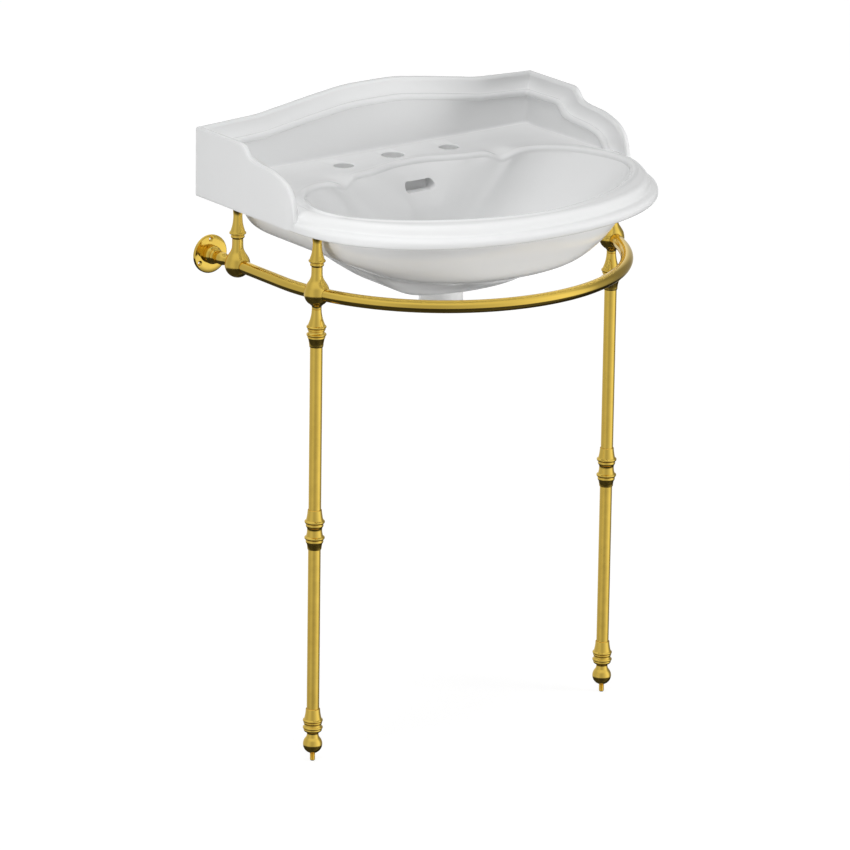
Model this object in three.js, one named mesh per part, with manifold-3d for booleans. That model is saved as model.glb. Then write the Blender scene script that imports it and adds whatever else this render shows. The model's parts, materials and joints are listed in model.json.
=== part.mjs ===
// Washbasin on a turned brass stand, in millimetres with +Z up.
// The pieces are drawn with the back face of the basin at y = 0 and the floor at z = 0, and the whole
// group is then moved so that the origin lies on the floor under the middle of the object.
import * as THREE from 'three';
import { mergeVertices } from 'three/addons/utils/BufferGeometryUtils.js';
import Module from 'manifold-3d';

const wasm = await Module();
wasm.setup();

// Clearances
const fitGap = 0.3;
const cutOverrun = 5;

// Basin: plan and levels
const basinWidth = 637;
const basinDepth = 498;
const undersideHeight = 838;
const plateThickness = 34;
const ovalCentreDepth = 235;
const ovalRelief = 1;
const ovalPower = 2.2;
const wallGap = 4;

// Basin: rim of the oval front
const rimRollRadius = 10;
const rimStepInset = 12.5;
const rimStepRise = 19;
const rimShoulderInset = 24;

// Basin: opening of the bowl and the roll round it
const bowlSideMargin = 41.5;
const bowlFrontMargin = 43;
const bowlCentreDepth = 250;
const bowlBackDepth = 118;
const lipFootSpread = 14.5;
const lipCrestSpread = 8;
const lipInnerSpread = 2.5;
const lipCrestRise = 2.6;
const lipEdgeDrop = 6;

// Basin: inside of the bowl and the waste
const wasteDepth = 200;
const wasteRadius = 22;
const bowlFloorDrop = 116;
const wasteBossRadius = 34;
const wasteBossLength = 34;
const bossRootFlare = 3;

// Basin: underside
const hullSideMargin = 56.5;
const hullFrontMargin = 43;
const hullDepth = 136;
const hullRearInset = 5;
const hullFootRearDepth = 105;
const hullCornerRadius = 60;

// Basin: tap deck, overflow and the hollow below the deck
const tapSpacing = 200;
const sideTapDepth = 81;
const sideTapRadius = 15;
const middleTapDepth = 71;
const middleTapRadius = 17;
const deckThickness = 12;
const hollowSideMargin = 103.5;
const hollowFrontDepth = 104;
const hollowRearDepth = 14;
const hullWall = 14;
const slotWidth = 52;
const slotHeight = 12;
const slotDrop = 32;
const slotCutDepth = 152;
const ductHalfWidth = 20;
const ductFrontDepth = 128;
const ductRearDepth = 118;
const ductTopRise = 6;
const ductFootHalfWidth = 10;
const ductFootHeight = 9;
const ductFootDrop = 6.5;

// Basin: moulded upstand and wings
const wingRise = 75;
const wingReach = 261;
const backRise = 79;
const crestRise = 24.5;
const crestFlatHalfWidth = 45;
const crestFootMargin = 113.5;
const mouldingDepth = 27;
const mouldingDrop = 34;
const wallFootDepth = 33;

// Stand: posts and rail
const ballHeight = 742;
const ballRadius = 19.7;
const railRadius = 9.75;
const railWall = 1.5;
const railSideInset = 29.5;
const railBendDepth = 190;
const railSeat = 12;
const frontPostDepth = 264;
const rearPostDepth = 71;

// Stand: turned pieces
const neckRadius = 7.9;
const pearLength = 41.5;
const underNeckRadius = 7.5;
const underNeckLength = 24;
const spindleRadius = 13;
const upperCollarRadius = 15.2;
const upperCollarLength = 59;
const middleCollarRadius = 15.6;
const middleCollarLength = 63;
const middleCollarHeight = 371;
const lowerCollarRadius = 15.4;
const lowerCollarLength = 40;
const tubeRadius = 9.6;
const tubeWall = 1.5;
const socketDepth = 8;
const footRadius = 14.9;
const footNeckRadius = 9;
const footNeckLength = 17;
const studRadius = 4;
const studLength = 30;
const studExposed = 12;
const studTravel = 8;
const studChamfer = 1;

// Stand: wall arms
const flangeRadius = 30;
const flangeThickness = 4;
const flangeEdge = 1;
const screwCircleRadius = 23.5;
const screwHoleRadius = 2.6;
const screwHeadRadius = 4.6;
const screwCount = 3;
const armBossRadius = 14.5;
const armBossLength = 17;
const armSleeveRadius = 9.8;
const armNeckRadius = 6;
const armSeatDepth = 5;

// Facet counts
const frontSteps = 16;
const sideSteps = 8;
const cornerSteps = 4;
const backSteps = 8;
const turnedSides = 12;
const holeSides = 16;
const railSides = 12;
const railBoreSides = 8;
const frontRailSteps = 28;
const sideRailSteps = 7;
const socketSteps = 1;

// Levels and places that follow from the sizes above
const bowlWidth = basinWidth - 2 * bowlSideMargin;
const bowlFrontDepth = basinDepth - bowlFrontMargin;
const hullTopHalfWidth = basinWidth / 2 - hullSideMargin;
const hullTopFrontDepth = basinDepth - hullFrontMargin;
const hollowHalfWidth = basinWidth / 2 - hollowSideMargin;
const crestFootHalfWidth = basinWidth / 2 - crestFootMargin;
const railHalfWidth = basinWidth / 2 - railSideInset;
const deckHeight = undersideHeight + plateThickness;
const bowlFloorHeight = undersideHeight - bowlFloorDrop;
const openingHeight = deckHeight - lipEdgeDrop;
const hullFootHeight = undersideHeight - hullDepth;
const frontPostHalfWidth = Math.sqrt(railHalfWidth ** 2 - (frontPostDepth - railBendDepth) ** 2);
const frontPostAngle = Math.asin((frontPostDepth - railBendDepth) / railHalfWidth);
// A socket clears the corners of the faceted rail, however the facets of both are turned.
const socketRadius = railRadius / Math.cos(Math.PI / railSides) + fitGap;
const frontPostPlace = frontPostAngle * railHalfWidth;
const rearPostPlace = rearPostDepth - railBendDepth;
const railBendLength = Math.PI * railHalfWidth;
const ballTopHeight = ballHeight + pearLength;
const spindleLength = undersideHeight - ballTopHeight - 2 * fitGap;
const upperCollarTop = ballHeight - underNeckLength - fitGap;
const upperCollarFoot = upperCollarTop - upperCollarLength;
const footCentreHeight = studExposed + footRadius;
const footTopHeight = footCentreHeight + footNeckLength;
const lowerCollarFoot = footTopHeight + fitGap;
const lowerCollarTop = lowerCollarFoot + lowerCollarLength;
const middleCollarFoot = middleCollarHeight - middleCollarLength / 2;
const middleCollarTop = middleCollarHeight + middleCollarLength / 2;

// Outlines as shares of the sizes that they follow.
// Bowl edge behind its widest place: half width, then the way from the widest place to the arch
const bowlBackShares = [
  [0.978, 0.15], [0.931, 0.364], [0.866, 0.53], [0.794, 0.636], [0.722, 0.697], [0.657, 0.712],
  [0.596, 0.667], [0.542, 0.629], [0.487, 0.682], [0.415, 0.765], [0.325, 0.833], [0.217, 0.909],
  [0.108, 0.977], [0, 1],
];
// Rings of the inside of the bowl, from its edge to the waste
const bowlRingShares = [0.03, 0.08, 0.15, 0.24, 0.35, 0.48, 0.62, 0.76, 0.88, 0.96];
// Underside: drop, half width, front depth and the rear's way forward to the foot
const hullShares = [
  [0.17, 1, 0.98, 0], [0.353, 0.931, 0.956, 0], [0.537, 0.756, 0.925, 0.19], [0.684, 0.595, 0.82, 0.45],
  [0.816, 0.508, 0.723, 0.68], [0.926, 0.424, 0.657, 0.87], [1, 0.321, 0.574, 1],
];
// Top line of a wing: depth and rise, beside the depth and rise of the bead that runs under it
const wingLineShares = [
  [0.467, 1, 0.383, 0.585], [0.533, 0.773, 0.429, 0.41], [0.628, 0.706, 0.51, 0.29],
  [0.755, 0.665, 0.667, 0.29], [0.843, 0.572, 0.747, 0.237], [0.9, 0.505, 0.778, 0.21],
  [0.943, 0.371, 0.801, 0.13], [0.969, 0.197, 0.824, 0.05], [0.989, -0.097, 0.839, -0.12],
];
// Moulding of the upstand: depth in from the outer face and drop from the top line to the bead
const mouldingShares = [
  [0, 0.045], [0.055, 0], [0.315, 0], [0.37, 0.06], [0.4, 0.26], [0.48, 0.5], [0.7, 0.735],
  [0.89, 0.75], [1, 0.84], [1, 0.94], [0.907, 1],
];
// The foot of the wall inside a wing lies this many times as far behind the top line as the bead does
const wallFootDropShare = 1.5;
// Turned pieces: radius and height, from the bottom up
const pearShares = [
  [0.965, 0.145], [0.873, 0.265], [0.72, 0.386], [0.558, 0.506], [0.447, 0.627], [0.406, 0.77],
];
const spindleShares = [
  [0.66, 0], [0.8, 0.03], [0.8, 0.09], [0.73, 0.11], [0.93, 0.13], [1, 0.165], [0.9, 0.2],
  [0.78, 0.22], [0.74, 0.32], [0.55, 0.74], [0.56, 0.82], [0.72, 0.93], [0.73, 1],
];
const upperCollarShares = [
  [0.7, 0], [0.81, 0.29], [0.93, 0.34], [0.93, 0.4], [0.76, 0.46], [0.96, 0.53], [1, 0.56],
  [0.95, 0.6], [0.73, 0.65], [0.6, 0.76], [0.5, 0.92], [0.49, 1],
];
const middleCollarShares = [
  [0.69, 0], [0.74, 0.14], [0.8, 0.25], [0.98, 0.275], [1, 0.31], [0.95, 0.345], [0.76, 0.4],
  [0.74, 0.5], [0.76, 0.6], [0.95, 0.655], [1, 0.69], [0.98, 0.725], [0.8, 0.75], [0.74, 0.86], [0.69, 1],
];
const lowerCollarShares = [
  [0.59, 0], [0.62, 0.12], [0.96, 0.17], [1, 0.23], [0.96, 0.3], [0.88, 0.35], [0.88, 0.42],
  [0.98, 0.47], [0.99, 0.56], [0.86, 0.66], [0.71, 1],
];
const armBossShares = [[0.93, 0], [1, 0.08], [0.97, 0.5], [0.76, 0.62], [0.76, 0.86], [0.62, 1]];
const armSleeveShares = [[0.86, 0], [1, 0.08], [1, 0.42], [0.86, 0.52], [0.62, 0.6], [0.61, 1]];

const ceramic = new THREE.MeshStandardMaterial({ color: 0xf1f2f2, roughness: 0.08, metalness: 0 });
const brass = new THREE.MeshStandardMaterial({ color: 0xc9a23c, roughness: 0.18, metalness: 1 });

// Solids and cuts

function closedGeometry(positions, triangles) {
  const loose = new THREE.BufferGeometry();
  loose.setAttribute('position', new THREE.Float32BufferAttribute(positions.flat(), 3));
  loose.setIndex(triangles.flat());
  return mergedGeometry(loose);
}

// Shared vertices are joined, and triangles that this leaves without an area are dropped.
function mergedGeometry(geometry) {
  const bare = new THREE.BufferGeometry();
  bare.setAttribute('position', geometry.getAttribute('position').clone());
  if (geometry.index) bare.setIndex(geometry.index.clone());
  const merged = mergeVertices(bare);
  const index = merged.index.array;
  const kept = [];
  for (let i = 0; i < index.length; i += 3) {
    const [a, b, c] = [index[i], index[i + 1], index[i + 2]];
    if (a !== b && b !== c && c !== a) kept.push(a, b, c);
  }
  merged.setIndex(kept);
  return merged;
}

function toSolid(geometry) {
  const merged = mergedGeometry(geometry);
  const mesh = new wasm.Mesh({
    numProp: 3,
    vertProperties: new Float32Array(merged.getAttribute('position').array),
    triVerts: new Uint32Array(merged.index.array),
  });
  return new wasm.Manifold(mesh);
}

function toGeometry(solid) {
  const mesh = solid.getMesh();
  const geometry = new THREE.BufferGeometry();
  geometry.setAttribute('position', new THREE.BufferAttribute(new Float32Array(mesh.vertProperties), 3));
  geometry.setIndex(new THREE.BufferAttribute(new Uint32Array(mesh.triVerts), 1));
  return geometry;
}

function cutAway(geometry, cutters) {
  let solid = toSolid(geometry);
  for (const cutter of cutters) solid = solid.subtract(toSolid(cutter));
  return toGeometry(solid);
}

// Skin between rings of equal length. The last ring joins the first one, so that the skin closes.
function skinRings(rings) {
  const count = rings[0].length;
  const triangles = [];
  rings.forEach((ring, r) => {
    const next = (r + 1) % rings.length;
    for (let i = 0; i < count; i += 1) {
      const j = (i + 1) % count;
      const [a, b] = [r * count + i, r * count + j];
      const [c, d] = [next * count + i, next * count + j];
      triangles.push([a, d, b], [a, c, d]);
    }
  });
  return closedGeometry(rings.flat(), triangles);
}

// Skin between open rows of sections, with both end sections filled.
function skinSections(sections) {
  const count = sections[0].length;
  const triangles = [];
  for (let s = 0; s < sections.length - 1; s += 1) {
    for (let i = 0; i < count; i += 1) {
      const j = (i + 1) % count;
      const [a, b] = [s * count + i, s * count + j];
      const [c, d] = [a + count, b + count];
      triangles.push([a, d, b], [a, c, d]);
    }
  }
  const last = sections.length - 1;
  triangles.push(...fillSection(sections[0], 0, false));
  triangles.push(...fillSection(sections[last], last * count, true));
  return closedGeometry(sections.flat(), triangles);
}

// Triangles that fill a level section, turned the same way as its outline or, for a last one, against it.
function fillSection(section, offset, againstOutline) {
  const flat = section.map(([x, y]) => new THREE.Vector2(x, y));
  const triangles = THREE.ShapeUtils.triangulateShape(flat, []);
  const areaOf = (corners) => THREE.ShapeUtils.area(corners.map((i) => flat[i]));
  const filled = triangles.reduce((sum, corners) => sum + areaOf(corners), 0);
  const alongOutline = filled * THREE.ShapeUtils.area(flat) > 0;
  return triangles.map((corners) => {
    const triangle = corners.map((i) => i + offset);
    return alongOutline === againstOutline ? triangle.reverse() : triangle;
  });
}

function turned(profile, sides = turnedSides) {
  const lathe = new THREE.LatheGeometry(profile.map(([r, h]) => new THREE.Vector2(r, h)), sides);
  lathe.rotateX(Math.PI / 2);
  return mergedGeometry(lathe);
}

function scaledProfile(shares, radius, length, foot = 0) {
  return shares.map(([r, h]) => [r * radius, foot + h * length]);
}

function upright(radius, bottom, top, sides = holeSides) {
  return turned([[0, bottom], [radius, bottom], [radius, top], [0, top]], sides);
}

function box(xMin, xMax, yMin, yMax, zMin, zMax) {
  const block = new THREE.BoxGeometry(xMax - xMin, yMax - yMin, zMax - zMin);
  return block.translate((xMin + xMax) / 2, (yMin + yMax) / 2, (zMin + zMax) / 2);
}

// Outlines in plan: half outlines run from the front centre over the right side to the back centre

function ovalPoint(angle, halfWidth, reach, centreDepth) {
  const x = halfWidth * Math.sin(angle) ** (2 / ovalPower);
  const y = -centreDepth - reach * Math.max(Math.cos(angle), 0) ** (2 / ovalPower);
  return [x, y];
}

function ovalFront(halfWidth, frontDepth, centreDepth) {
  const points = [];
  for (let i = 0; i <= frontSteps; i += 1) {
    const angle = (i / frontSteps) * (Math.PI / 2);
    points.push(ovalPoint(angle, halfWidth, frontDepth - centreDepth, centreDepth));
  }
  return points;
}

function plateHalf(halfWidth, frontDepth, rearDepth, cornerRadius) {
  const points = ovalFront(halfWidth, frontDepth, ovalCentreDepth);
  const radius = Math.min(cornerRadius, halfWidth * 0.6);
  for (let i = 1; i <= sideSteps; i += 1) {
    const y = THREE.MathUtils.lerp(-ovalCentreDepth, -rearDepth - radius, i / sideSteps);
    points.push([halfWidth, y]);
  }
  for (let i = 1; i <= cornerSteps; i += 1) {
    const angle = (i / cornerSteps) * (Math.PI / 2);
    const x = halfWidth - radius + radius * Math.cos(angle);
    points.push([x, -rearDepth - radius + radius * Math.sin(angle)]);
  }
  for (let i = 1; i <= backSteps; i += 1) {
    points.push([(halfWidth - radius) * (1 - i / backSteps), -rearDepth]);
  }
  return points;
}

function bowlHalf() {
  const halfWidth = bowlWidth / 2;
  const reach = bowlCentreDepth - bowlBackDepth;
  const start = new THREE.Vector3(halfWidth, -bowlCentreDepth, 0);
  const back = bowlBackShares.map(([x, y]) => new THREE.Vector3(x * halfWidth, y * reach - bowlCentreDepth, 0));
  const curve = new THREE.CatmullRomCurve3([start, ...back], false, 'centripetal');
  const steps = sideSteps + cornerSteps + backSteps;
  const behind = curve.getSpacedPoints(steps).slice(1).map((p) => [p.x, p.y]);
  return [...ovalFront(halfWidth, bowlFrontDepth, bowlCentreDepth), ...behind];
}

function circleHalf(radius, centreDepth) {
  const steps = frontSteps + sideSteps + cornerSteps + backSteps;
  const points = [];
  for (let i = 0; i <= steps; i += 1) {
    const angle = (i / steps) * Math.PI;
    points.push([radius * Math.sin(angle), -centreDepth - radius * Math.cos(angle)]);
  }
  return points;
}

// A full ring from a half outline: up the right side, then back down the left side.
function fullRing(half) {
  const right = half.map(([x, y], i) => (i === 0 || i === half.length - 1 ? [0, y] : [x, y]));
  const left = right.slice(1, -1).reverse().map(([x, y]) => [-x, y]);
  return [...right, ...left];
}

function atHeight(ring, z) {
  return ring.map(([x, y]) => [x, y, z]);
}

function spreadRing(ring, distance) {
  return ring.map(([x, y], i) => {
    const before = ring[(i + ring.length - 1) % ring.length];
    const after = ring[(i + 1) % ring.length];
    const along = new THREE.Vector2(after[0] - before[0], after[1] - before[1]).normalize();
    return [x + along.y * distance, y - along.x * distance];
  });
}

// How sharply the bowl falls: fast at the front, slower at the sides, and a leaning wall at the back.
function bowlFall(share) {
  const frontFall = 3;
  const sideFall = 2.1;
  const backFall = 0.5;
  if (share < 0.5) return THREE.MathUtils.lerp(frontFall, sideFall, share * 2);
  return THREE.MathUtils.lerp(sideFall, backFall, THREE.MathUtils.smoothstep(share, 0.5, 0.9));
}

function bowlRings() {
  const edge = fullRing(bowlHalf());
  const waste = fullRing(circleHalf(wasteRadius, wasteDepth));
  const half = edge.length / 2;
  const depth = openingHeight - bowlFloorHeight;
  return bowlRingShares.map((way) => edge.map(([x, y], i) => {
    const share = (i <= half ? i : edge.length - i) / half;
    const z = bowlFloorHeight + depth * (1 - way) ** bowlFall(share);
    return [THREE.MathUtils.lerp(x, waste[i][0], way), THREE.MathUtils.lerp(y, waste[i][1], way), z];
  }));
}

function rimRing(inset, z) {
  const halfWidth = basinWidth / 2 - ovalRelief - inset;
  return atHeight(fullRing(plateHalf(halfWidth, basinDepth - inset, inset + ovalRelief, rimRollRadius)), z);
}

function rimRings() {
  const stepHeight = undersideHeight + rimStepRise;
  const shoulderWidth = rimShoulderInset - rimStepInset;
  const shoulder = [];
  for (const angle of [80, 50, 20, 0]) {
    const turn = THREE.MathUtils.degToRad(angle);
    const inset = rimShoulderInset - shoulderWidth * Math.sin(turn);
    shoulder.push(rimRing(inset, stepHeight + (deckHeight - stepHeight) * Math.cos(turn)));
  }
  shoulder.reverse();
  const roll = [];
  for (const angle of [60, 30, 0, -30, -60, -90]) {
    const turn = THREE.MathUtils.degToRad(angle);
    const inset = rimRollRadius * (1 - Math.cos(turn));
    roll.push(rimRing(inset, undersideHeight + rimRollRadius * (1 + Math.sin(turn))));
  }
  return [...shoulder, rimRing(rimStepInset, stepHeight), ...roll];
}

function hullLevels() {
  return hullShares.map(([drop, width, front, rear]) => ({
    z: undersideHeight - drop * hullDepth,
    halfWidth: width * hullTopHalfWidth,
    frontDepth: front * hullTopFrontDepth,
    rearDepth: THREE.MathUtils.lerp(hullRearInset, hullFootRearDepth, rear),
  }));
}

function hullRings() {
  const top = plateHalf(hullTopHalfWidth, hullTopFrontDepth, hullRearInset, hullCornerRadius);
  const lower = hullLevels().map((level) => {
    const half = plateHalf(level.halfWidth, level.frontDepth, level.rearDepth, hullCornerRadius);
    return atHeight(fullRing(half), level.z);
  });
  return [atHeight(fullRing(top), undersideHeight), ...lower];
}

function bossRings() {
  const root = fullRing(circleHalf(wasteBossRadius + bossRootFlare, wasteDepth));
  const side = fullRing(circleHalf(wasteBossRadius, wasteDepth));
  const bore = fullRing(circleHalf(wasteRadius, wasteDepth));
  const foot = hullFootHeight - wasteBossLength;
  return [
    atHeight(root, hullFootHeight),
    atHeight(side, hullFootHeight - bossRootFlare),
    atHeight(side, foot),
    atHeight(bore, foot),
    atHeight(bore, bowlFloorHeight),
  ];
}

// Bowl, plate and underside in one skin, from the waste up the bowl, over the rim and down outside.
function bowlBody() {
  const edge = fullRing(bowlHalf());
  const lip = [
    atHeight(edge, openingHeight),
    atHeight(spreadRing(edge, lipInnerSpread), deckHeight + lipCrestRise / 2),
    atHeight(spreadRing(edge, lipCrestSpread), deckHeight + lipCrestRise),
    atHeight(spreadRing(edge, lipFootSpread), deckHeight),
  ];
  const inside = bowlRings().reverse();
  return skinRings([...inside, ...lip, ...rimRings(), ...hullRings(), ...bossRings()]);
}

// Upstand: one section for each place along the wings and the back

function mouldingSection(place) {
  const [[, edgeDrop]] = mouldingShares;
  const section = [place.at(0, edgeDrop, undersideHeight)];
  for (const [depth, drop] of mouldingShares) {
    section.push(place.at(depth * mouldingDepth, drop));
  }
  section.push(place.at(wallFootDepth, wallFootDropShare, undersideHeight));
  return section;
}

function wingPlace(side, [topDepth, topRise, beadDepth, beadRise]) {
  return {
    at: (inward, drop, level) => {
      const x = side * (basinWidth / 2 - inward);
      const y = -wingReach * THREE.MathUtils.lerp(topDepth, beadDepth, drop);
      const z = deckHeight + wingRise * THREE.MathUtils.lerp(topRise, beadRise, drop);
      return [x, y, level ?? z];
    },
  };
}

function wingEnd(side) {
  const [, , frontBeadDepth] = wingLineShares.at(-1);
  return {
    at: (inward, drop) => {
      const x = side * (basinWidth / 2 - inward);
      return [x, -wingReach * THREE.MathUtils.lerp(1, frontBeadDepth, drop), undersideHeight];
    },
  };
}

function cornerPlace(side) {
  return {
    at: (inward, drop, level) => {
      const z = deckHeight + wingRise - drop * mouldingDrop;
      return [side * (basinWidth / 2 - inward), -inward, level ?? z];
    },
  };
}

function backTop(x) {
  const way = (Math.abs(x) - crestFlatHalfWidth) / (crestFootHalfWidth - crestFlatHalfWidth);
  const share = 0.5 + 0.5 * Math.cos(Math.PI * THREE.MathUtils.clamp(way, 0, 1));
  return deckHeight + backRise + crestRise * share;
}

function backPlace(x) {
  return {
    at: (inward, drop, level) => [x, -inward, level ?? backTop(x) - drop * mouldingDrop],
  };
}

function backStations() {
  const steps = 5;
  const right = [];
  for (let i = 0; i <= steps; i += 1) {
    right.push(THREE.MathUtils.lerp(crestFootHalfWidth, crestFlatHalfWidth, i / steps));
  }
  return [...right, ...right.map((x) => -x).reverse()];
}

function upstandBody() {
  const rightWing = wingLineShares.map((shares) => wingPlace(1, shares)).reverse();
  const leftWing = wingLineShares.map((shares) => wingPlace(-1, shares));
  const places = [
    wingEnd(1), ...rightWing, cornerPlace(1),
    ...backStations().map(backPlace),
    cornerPlace(-1), ...leftWing, wingEnd(-1),
  ];
  return skinSections(places.map(mouldingSection));
}

// Openings in the basin

function tapHole(x, depth, radius) {
  return upright(radius, deckHeight - deckThickness - cutOverrun, deckHeight + cutOverrun).translate(x, -depth, 0);
}

function hollowRing(halfWidth, z) {
  const x = Math.min(halfWidth - hullWall, hollowHalfWidth);
  return [
    [x, -hollowFrontDepth, z], [-x, -hollowFrontDepth, z], [-x, -hollowRearDepth, z], [x, -hollowRearDepth, z],
  ];
}

function deckHollow() {
  const levels = hullLevels().reverse();
  const rings = [hollowRing(levels[0].halfWidth, levels[0].z - cutOverrun)];
  for (const level of levels) rings.push(hollowRing(level.halfWidth, level.z));
  rings.push(hollowRing(hullTopHalfWidth, undersideHeight));
  rings.push(hollowRing(hullTopHalfWidth, deckHeight - deckThickness));
  return skinSections(rings);
}

function overflowCutters() {
  const slotZ = deckHeight - slotDrop;
  const end = slotHeight / 2;
  const outline = new THREE.Shape();
  outline.absarc(slotWidth / 2 - end, 0, end, -Math.PI / 2, Math.PI / 2);
  outline.absarc(end - slotWidth / 2, 0, end, Math.PI / 2, (3 * Math.PI) / 2);
  const middleOfDuct = (ductFrontDepth + ductRearDepth) / 2;
  const slot = new THREE.ExtrudeGeometry(outline, {
    depth: slotCutDepth - middleOfDuct, bevelEnabled: false, curveSegments: 6,
  });
  slot.rotateX(Math.PI / 2);
  slot.translate(0, -middleOfDuct, slotZ);
  const footTop = bowlFloorHeight - ductFootDrop;
  const footBottom = footTop - ductFootHeight;
  const duct = box(-ductHalfWidth, ductHalfWidth, -ductFrontDepth, -ductRearDepth, footBottom, slotZ + ductTopRise);
  const wasteEdge = wasteDepth - wasteRadius / 2;
  const foot = box(-ductFootHalfWidth, ductFootHalfWidth, -wasteEdge, -middleOfDuct, footBottom, footTop);
  return [slot, duct, foot];
}

function basinGeometry() {
  const whole = toSolid(bowlBody()).add(toSolid(upstandBody()));
  return cutAway(toGeometry(whole), [
    deckHollow(),
    tapHole(0, middleTapDepth, middleTapRadius),
    tapHole(tapSpacing / 2, sideTapDepth, sideTapRadius),
    tapHole(-tapSpacing / 2, sideTapDepth, sideTapRadius),
    ...overflowCutters(),
  ]);
}

// Rail: straight sides that run into a half circle round the front. A place along it is the length from
// the start of the bend on the right side, and is below zero on the straight.

class RailPath extends THREE.Curve {
  constructor(from, to) {
    super();
    this.from = from;
    this.to = to;
  }

  turnAt(t) {
    return Math.max(THREE.MathUtils.lerp(this.from, this.to, t), 0) / railHalfWidth;
  }

  getPoint(t, target = new THREE.Vector3()) {
    const straight = Math.min(THREE.MathUtils.lerp(this.from, this.to, t), 0);
    const turn = this.turnAt(t);
    const y = -railBendDepth - straight - railHalfWidth * Math.sin(turn);
    return target.set(railHalfWidth * Math.cos(turn), y, ballHeight);
  }

  getTangent(t, target = new THREE.Vector3()) {
    const turn = this.turnAt(t);
    return target.set(-Math.sin(turn), -Math.cos(turn), 0);
  }
}

function circleShape(radius, sides) {
  const points = [];
  for (let i = 0; i < sides; i += 1) {
    const angle = (i / sides) * 2 * Math.PI;
    points.push(new THREE.Vector2(radius * Math.cos(angle), radius * Math.sin(angle)));
  }
  return new THREE.Shape(points);
}

function railBetween(from, to, steps, radius, bore) {
  const shape = circleShape(radius, railSides);
  if (bore) shape.holes.push(circleShape(bore, railBoreSides));
  return new THREE.ExtrudeGeometry(shape, { steps, extrudePath: new RailPath(from, to), bevelEnabled: false });
}

function frontRail() {
  const start = frontPostPlace + railSeat;
  return railBetween(start, railBendLength - start, frontRailSteps, railRadius, railRadius - railWall);
}

function sideRail() {
  return railBetween(rearPostPlace + railSeat, frontPostPlace - railSeat, sideRailSteps,
    railRadius, railRadius - railWall);
}

function mirrored(geometry) {
  const copy = mergedGeometry(geometry);
  copy.scale(-1, 1, 1);
  const index = Array.from(copy.index.array);
  for (let i = 0; i < index.length; i += 3) [index[i], index[i + 1]] = [index[i + 1], index[i]];
  copy.setIndex(index);
  return copy;
}

// Ball joints, drawn about their own centre with sockets for what enters them

function ballProfile(withLeg) {
  const profile = [];
  const lowest = withLeg ? Math.acos(underNeckRadius / ballRadius) : Math.PI / 2;
  const steps = 5;
  if (withLeg) profile.push([0, -underNeckLength], [underNeckRadius, -underNeckLength]);
  for (let i = 0; i <= steps; i += 1) {
    const angle = -lowest * (1 - i / steps);
    const radius = angle === -Math.PI / 2 ? 0 : ballRadius * Math.cos(angle);
    profile.push([radius, ballRadius * Math.sin(angle)]);
  }
  profile.push(...scaledProfile(pearShares, ballRadius, pearLength));
  profile.push([neckRadius, pearLength], [0, pearLength]);
  return profile;
}

// A socket for the rail in a ball, on the side of the ball that way points to.
function railSocket(post, way) {
  const near = post + way * (railSeat - fitGap);
  const far = post + way * (ballRadius + cutOverrun);
  const cutter = railBetween(Math.min(near, far), Math.max(near, far), socketSteps, socketRadius, 0);
  const centre = new RailPath(post, post).getPoint(0);
  return cutter.translate(-centre.x, -centre.y, -centre.z);
}

function frontBall() {
  return cutAway(turned(ballProfile(true)), [railSocket(frontPostPlace, 1), railSocket(frontPostPlace, -1)]);
}

function rearBall() {
  const armSeat = ballRadius - armSeatDepth - fitGap;
  const armCut = upright(armNeckRadius + fitGap, armSeat, ballRadius + cutOverrun).rotateX(-Math.PI / 2);
  return cutAway(turned(ballProfile(false)), [railSocket(rearPostPlace, 1), armCut]);
}

// Turned pieces of the legs, drawn from z = 0 up

function solidTurned(shares, radius, length) {
  return turned([[0, 0], ...scaledProfile(shares, radius, length), [0, length]]);
}

// A collar with a socket for a tube at its foot, at its top or at both.
function collar(shares, radius, length, atFoot, atTop) {
  const socket = tubeRadius + fitGap;
  const profile = scaledProfile(shares, radius, length);
  const foot = atFoot ? [[0, socketDepth], [socket, socketDepth], [socket, 0]] : [[0, 0]];
  const top = atTop ? [[socket, length], [socket, length - socketDepth], [0, length - socketDepth]] : [[0, length]];
  return turned([...foot, ...profile, ...top]);
}

function legTube(bottom, top) {
  const bore = tubeRadius - tubeWall;
  const length = top - bottom + 2 * (socketDepth - fitGap);
  return turned([[bore, 0], [tubeRadius, 0], [tubeRadius, length], [bore, length], [bore, 0]]);
}

function ballFoot() {
  const bore = studRadius + fitGap;
  const boreTop = studLength - studExposed + studTravel + fitGap;
  const low = -Math.asin(bore / footRadius);
  const high = Math.asin(footNeckRadius / footRadius);
  const profile = [[0, boreTop], [bore, boreTop]];
  const steps = 8;
  for (let i = 0; i <= steps; i += 1) {
    const angle = THREE.MathUtils.lerp(low, high - Math.PI, i / steps);
    profile.push([-footRadius * Math.sin(angle), footRadius - footRadius * Math.cos(angle)]);
  }
  profile.push([footNeckRadius, footRadius + footNeckLength], [0, footRadius + footNeckLength]);
  return turned(profile);
}

function levellingStud() {
  const tip = studRadius - studChamfer;
  const top = studLength - studChamfer;
  return turned([[0, 0], [tip, 0], [studRadius, studChamfer], [studRadius, top], [tip, studLength], [0, studLength]]);
}

// Wall arms, drawn along +Z and then turned to point away from the wall

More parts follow.
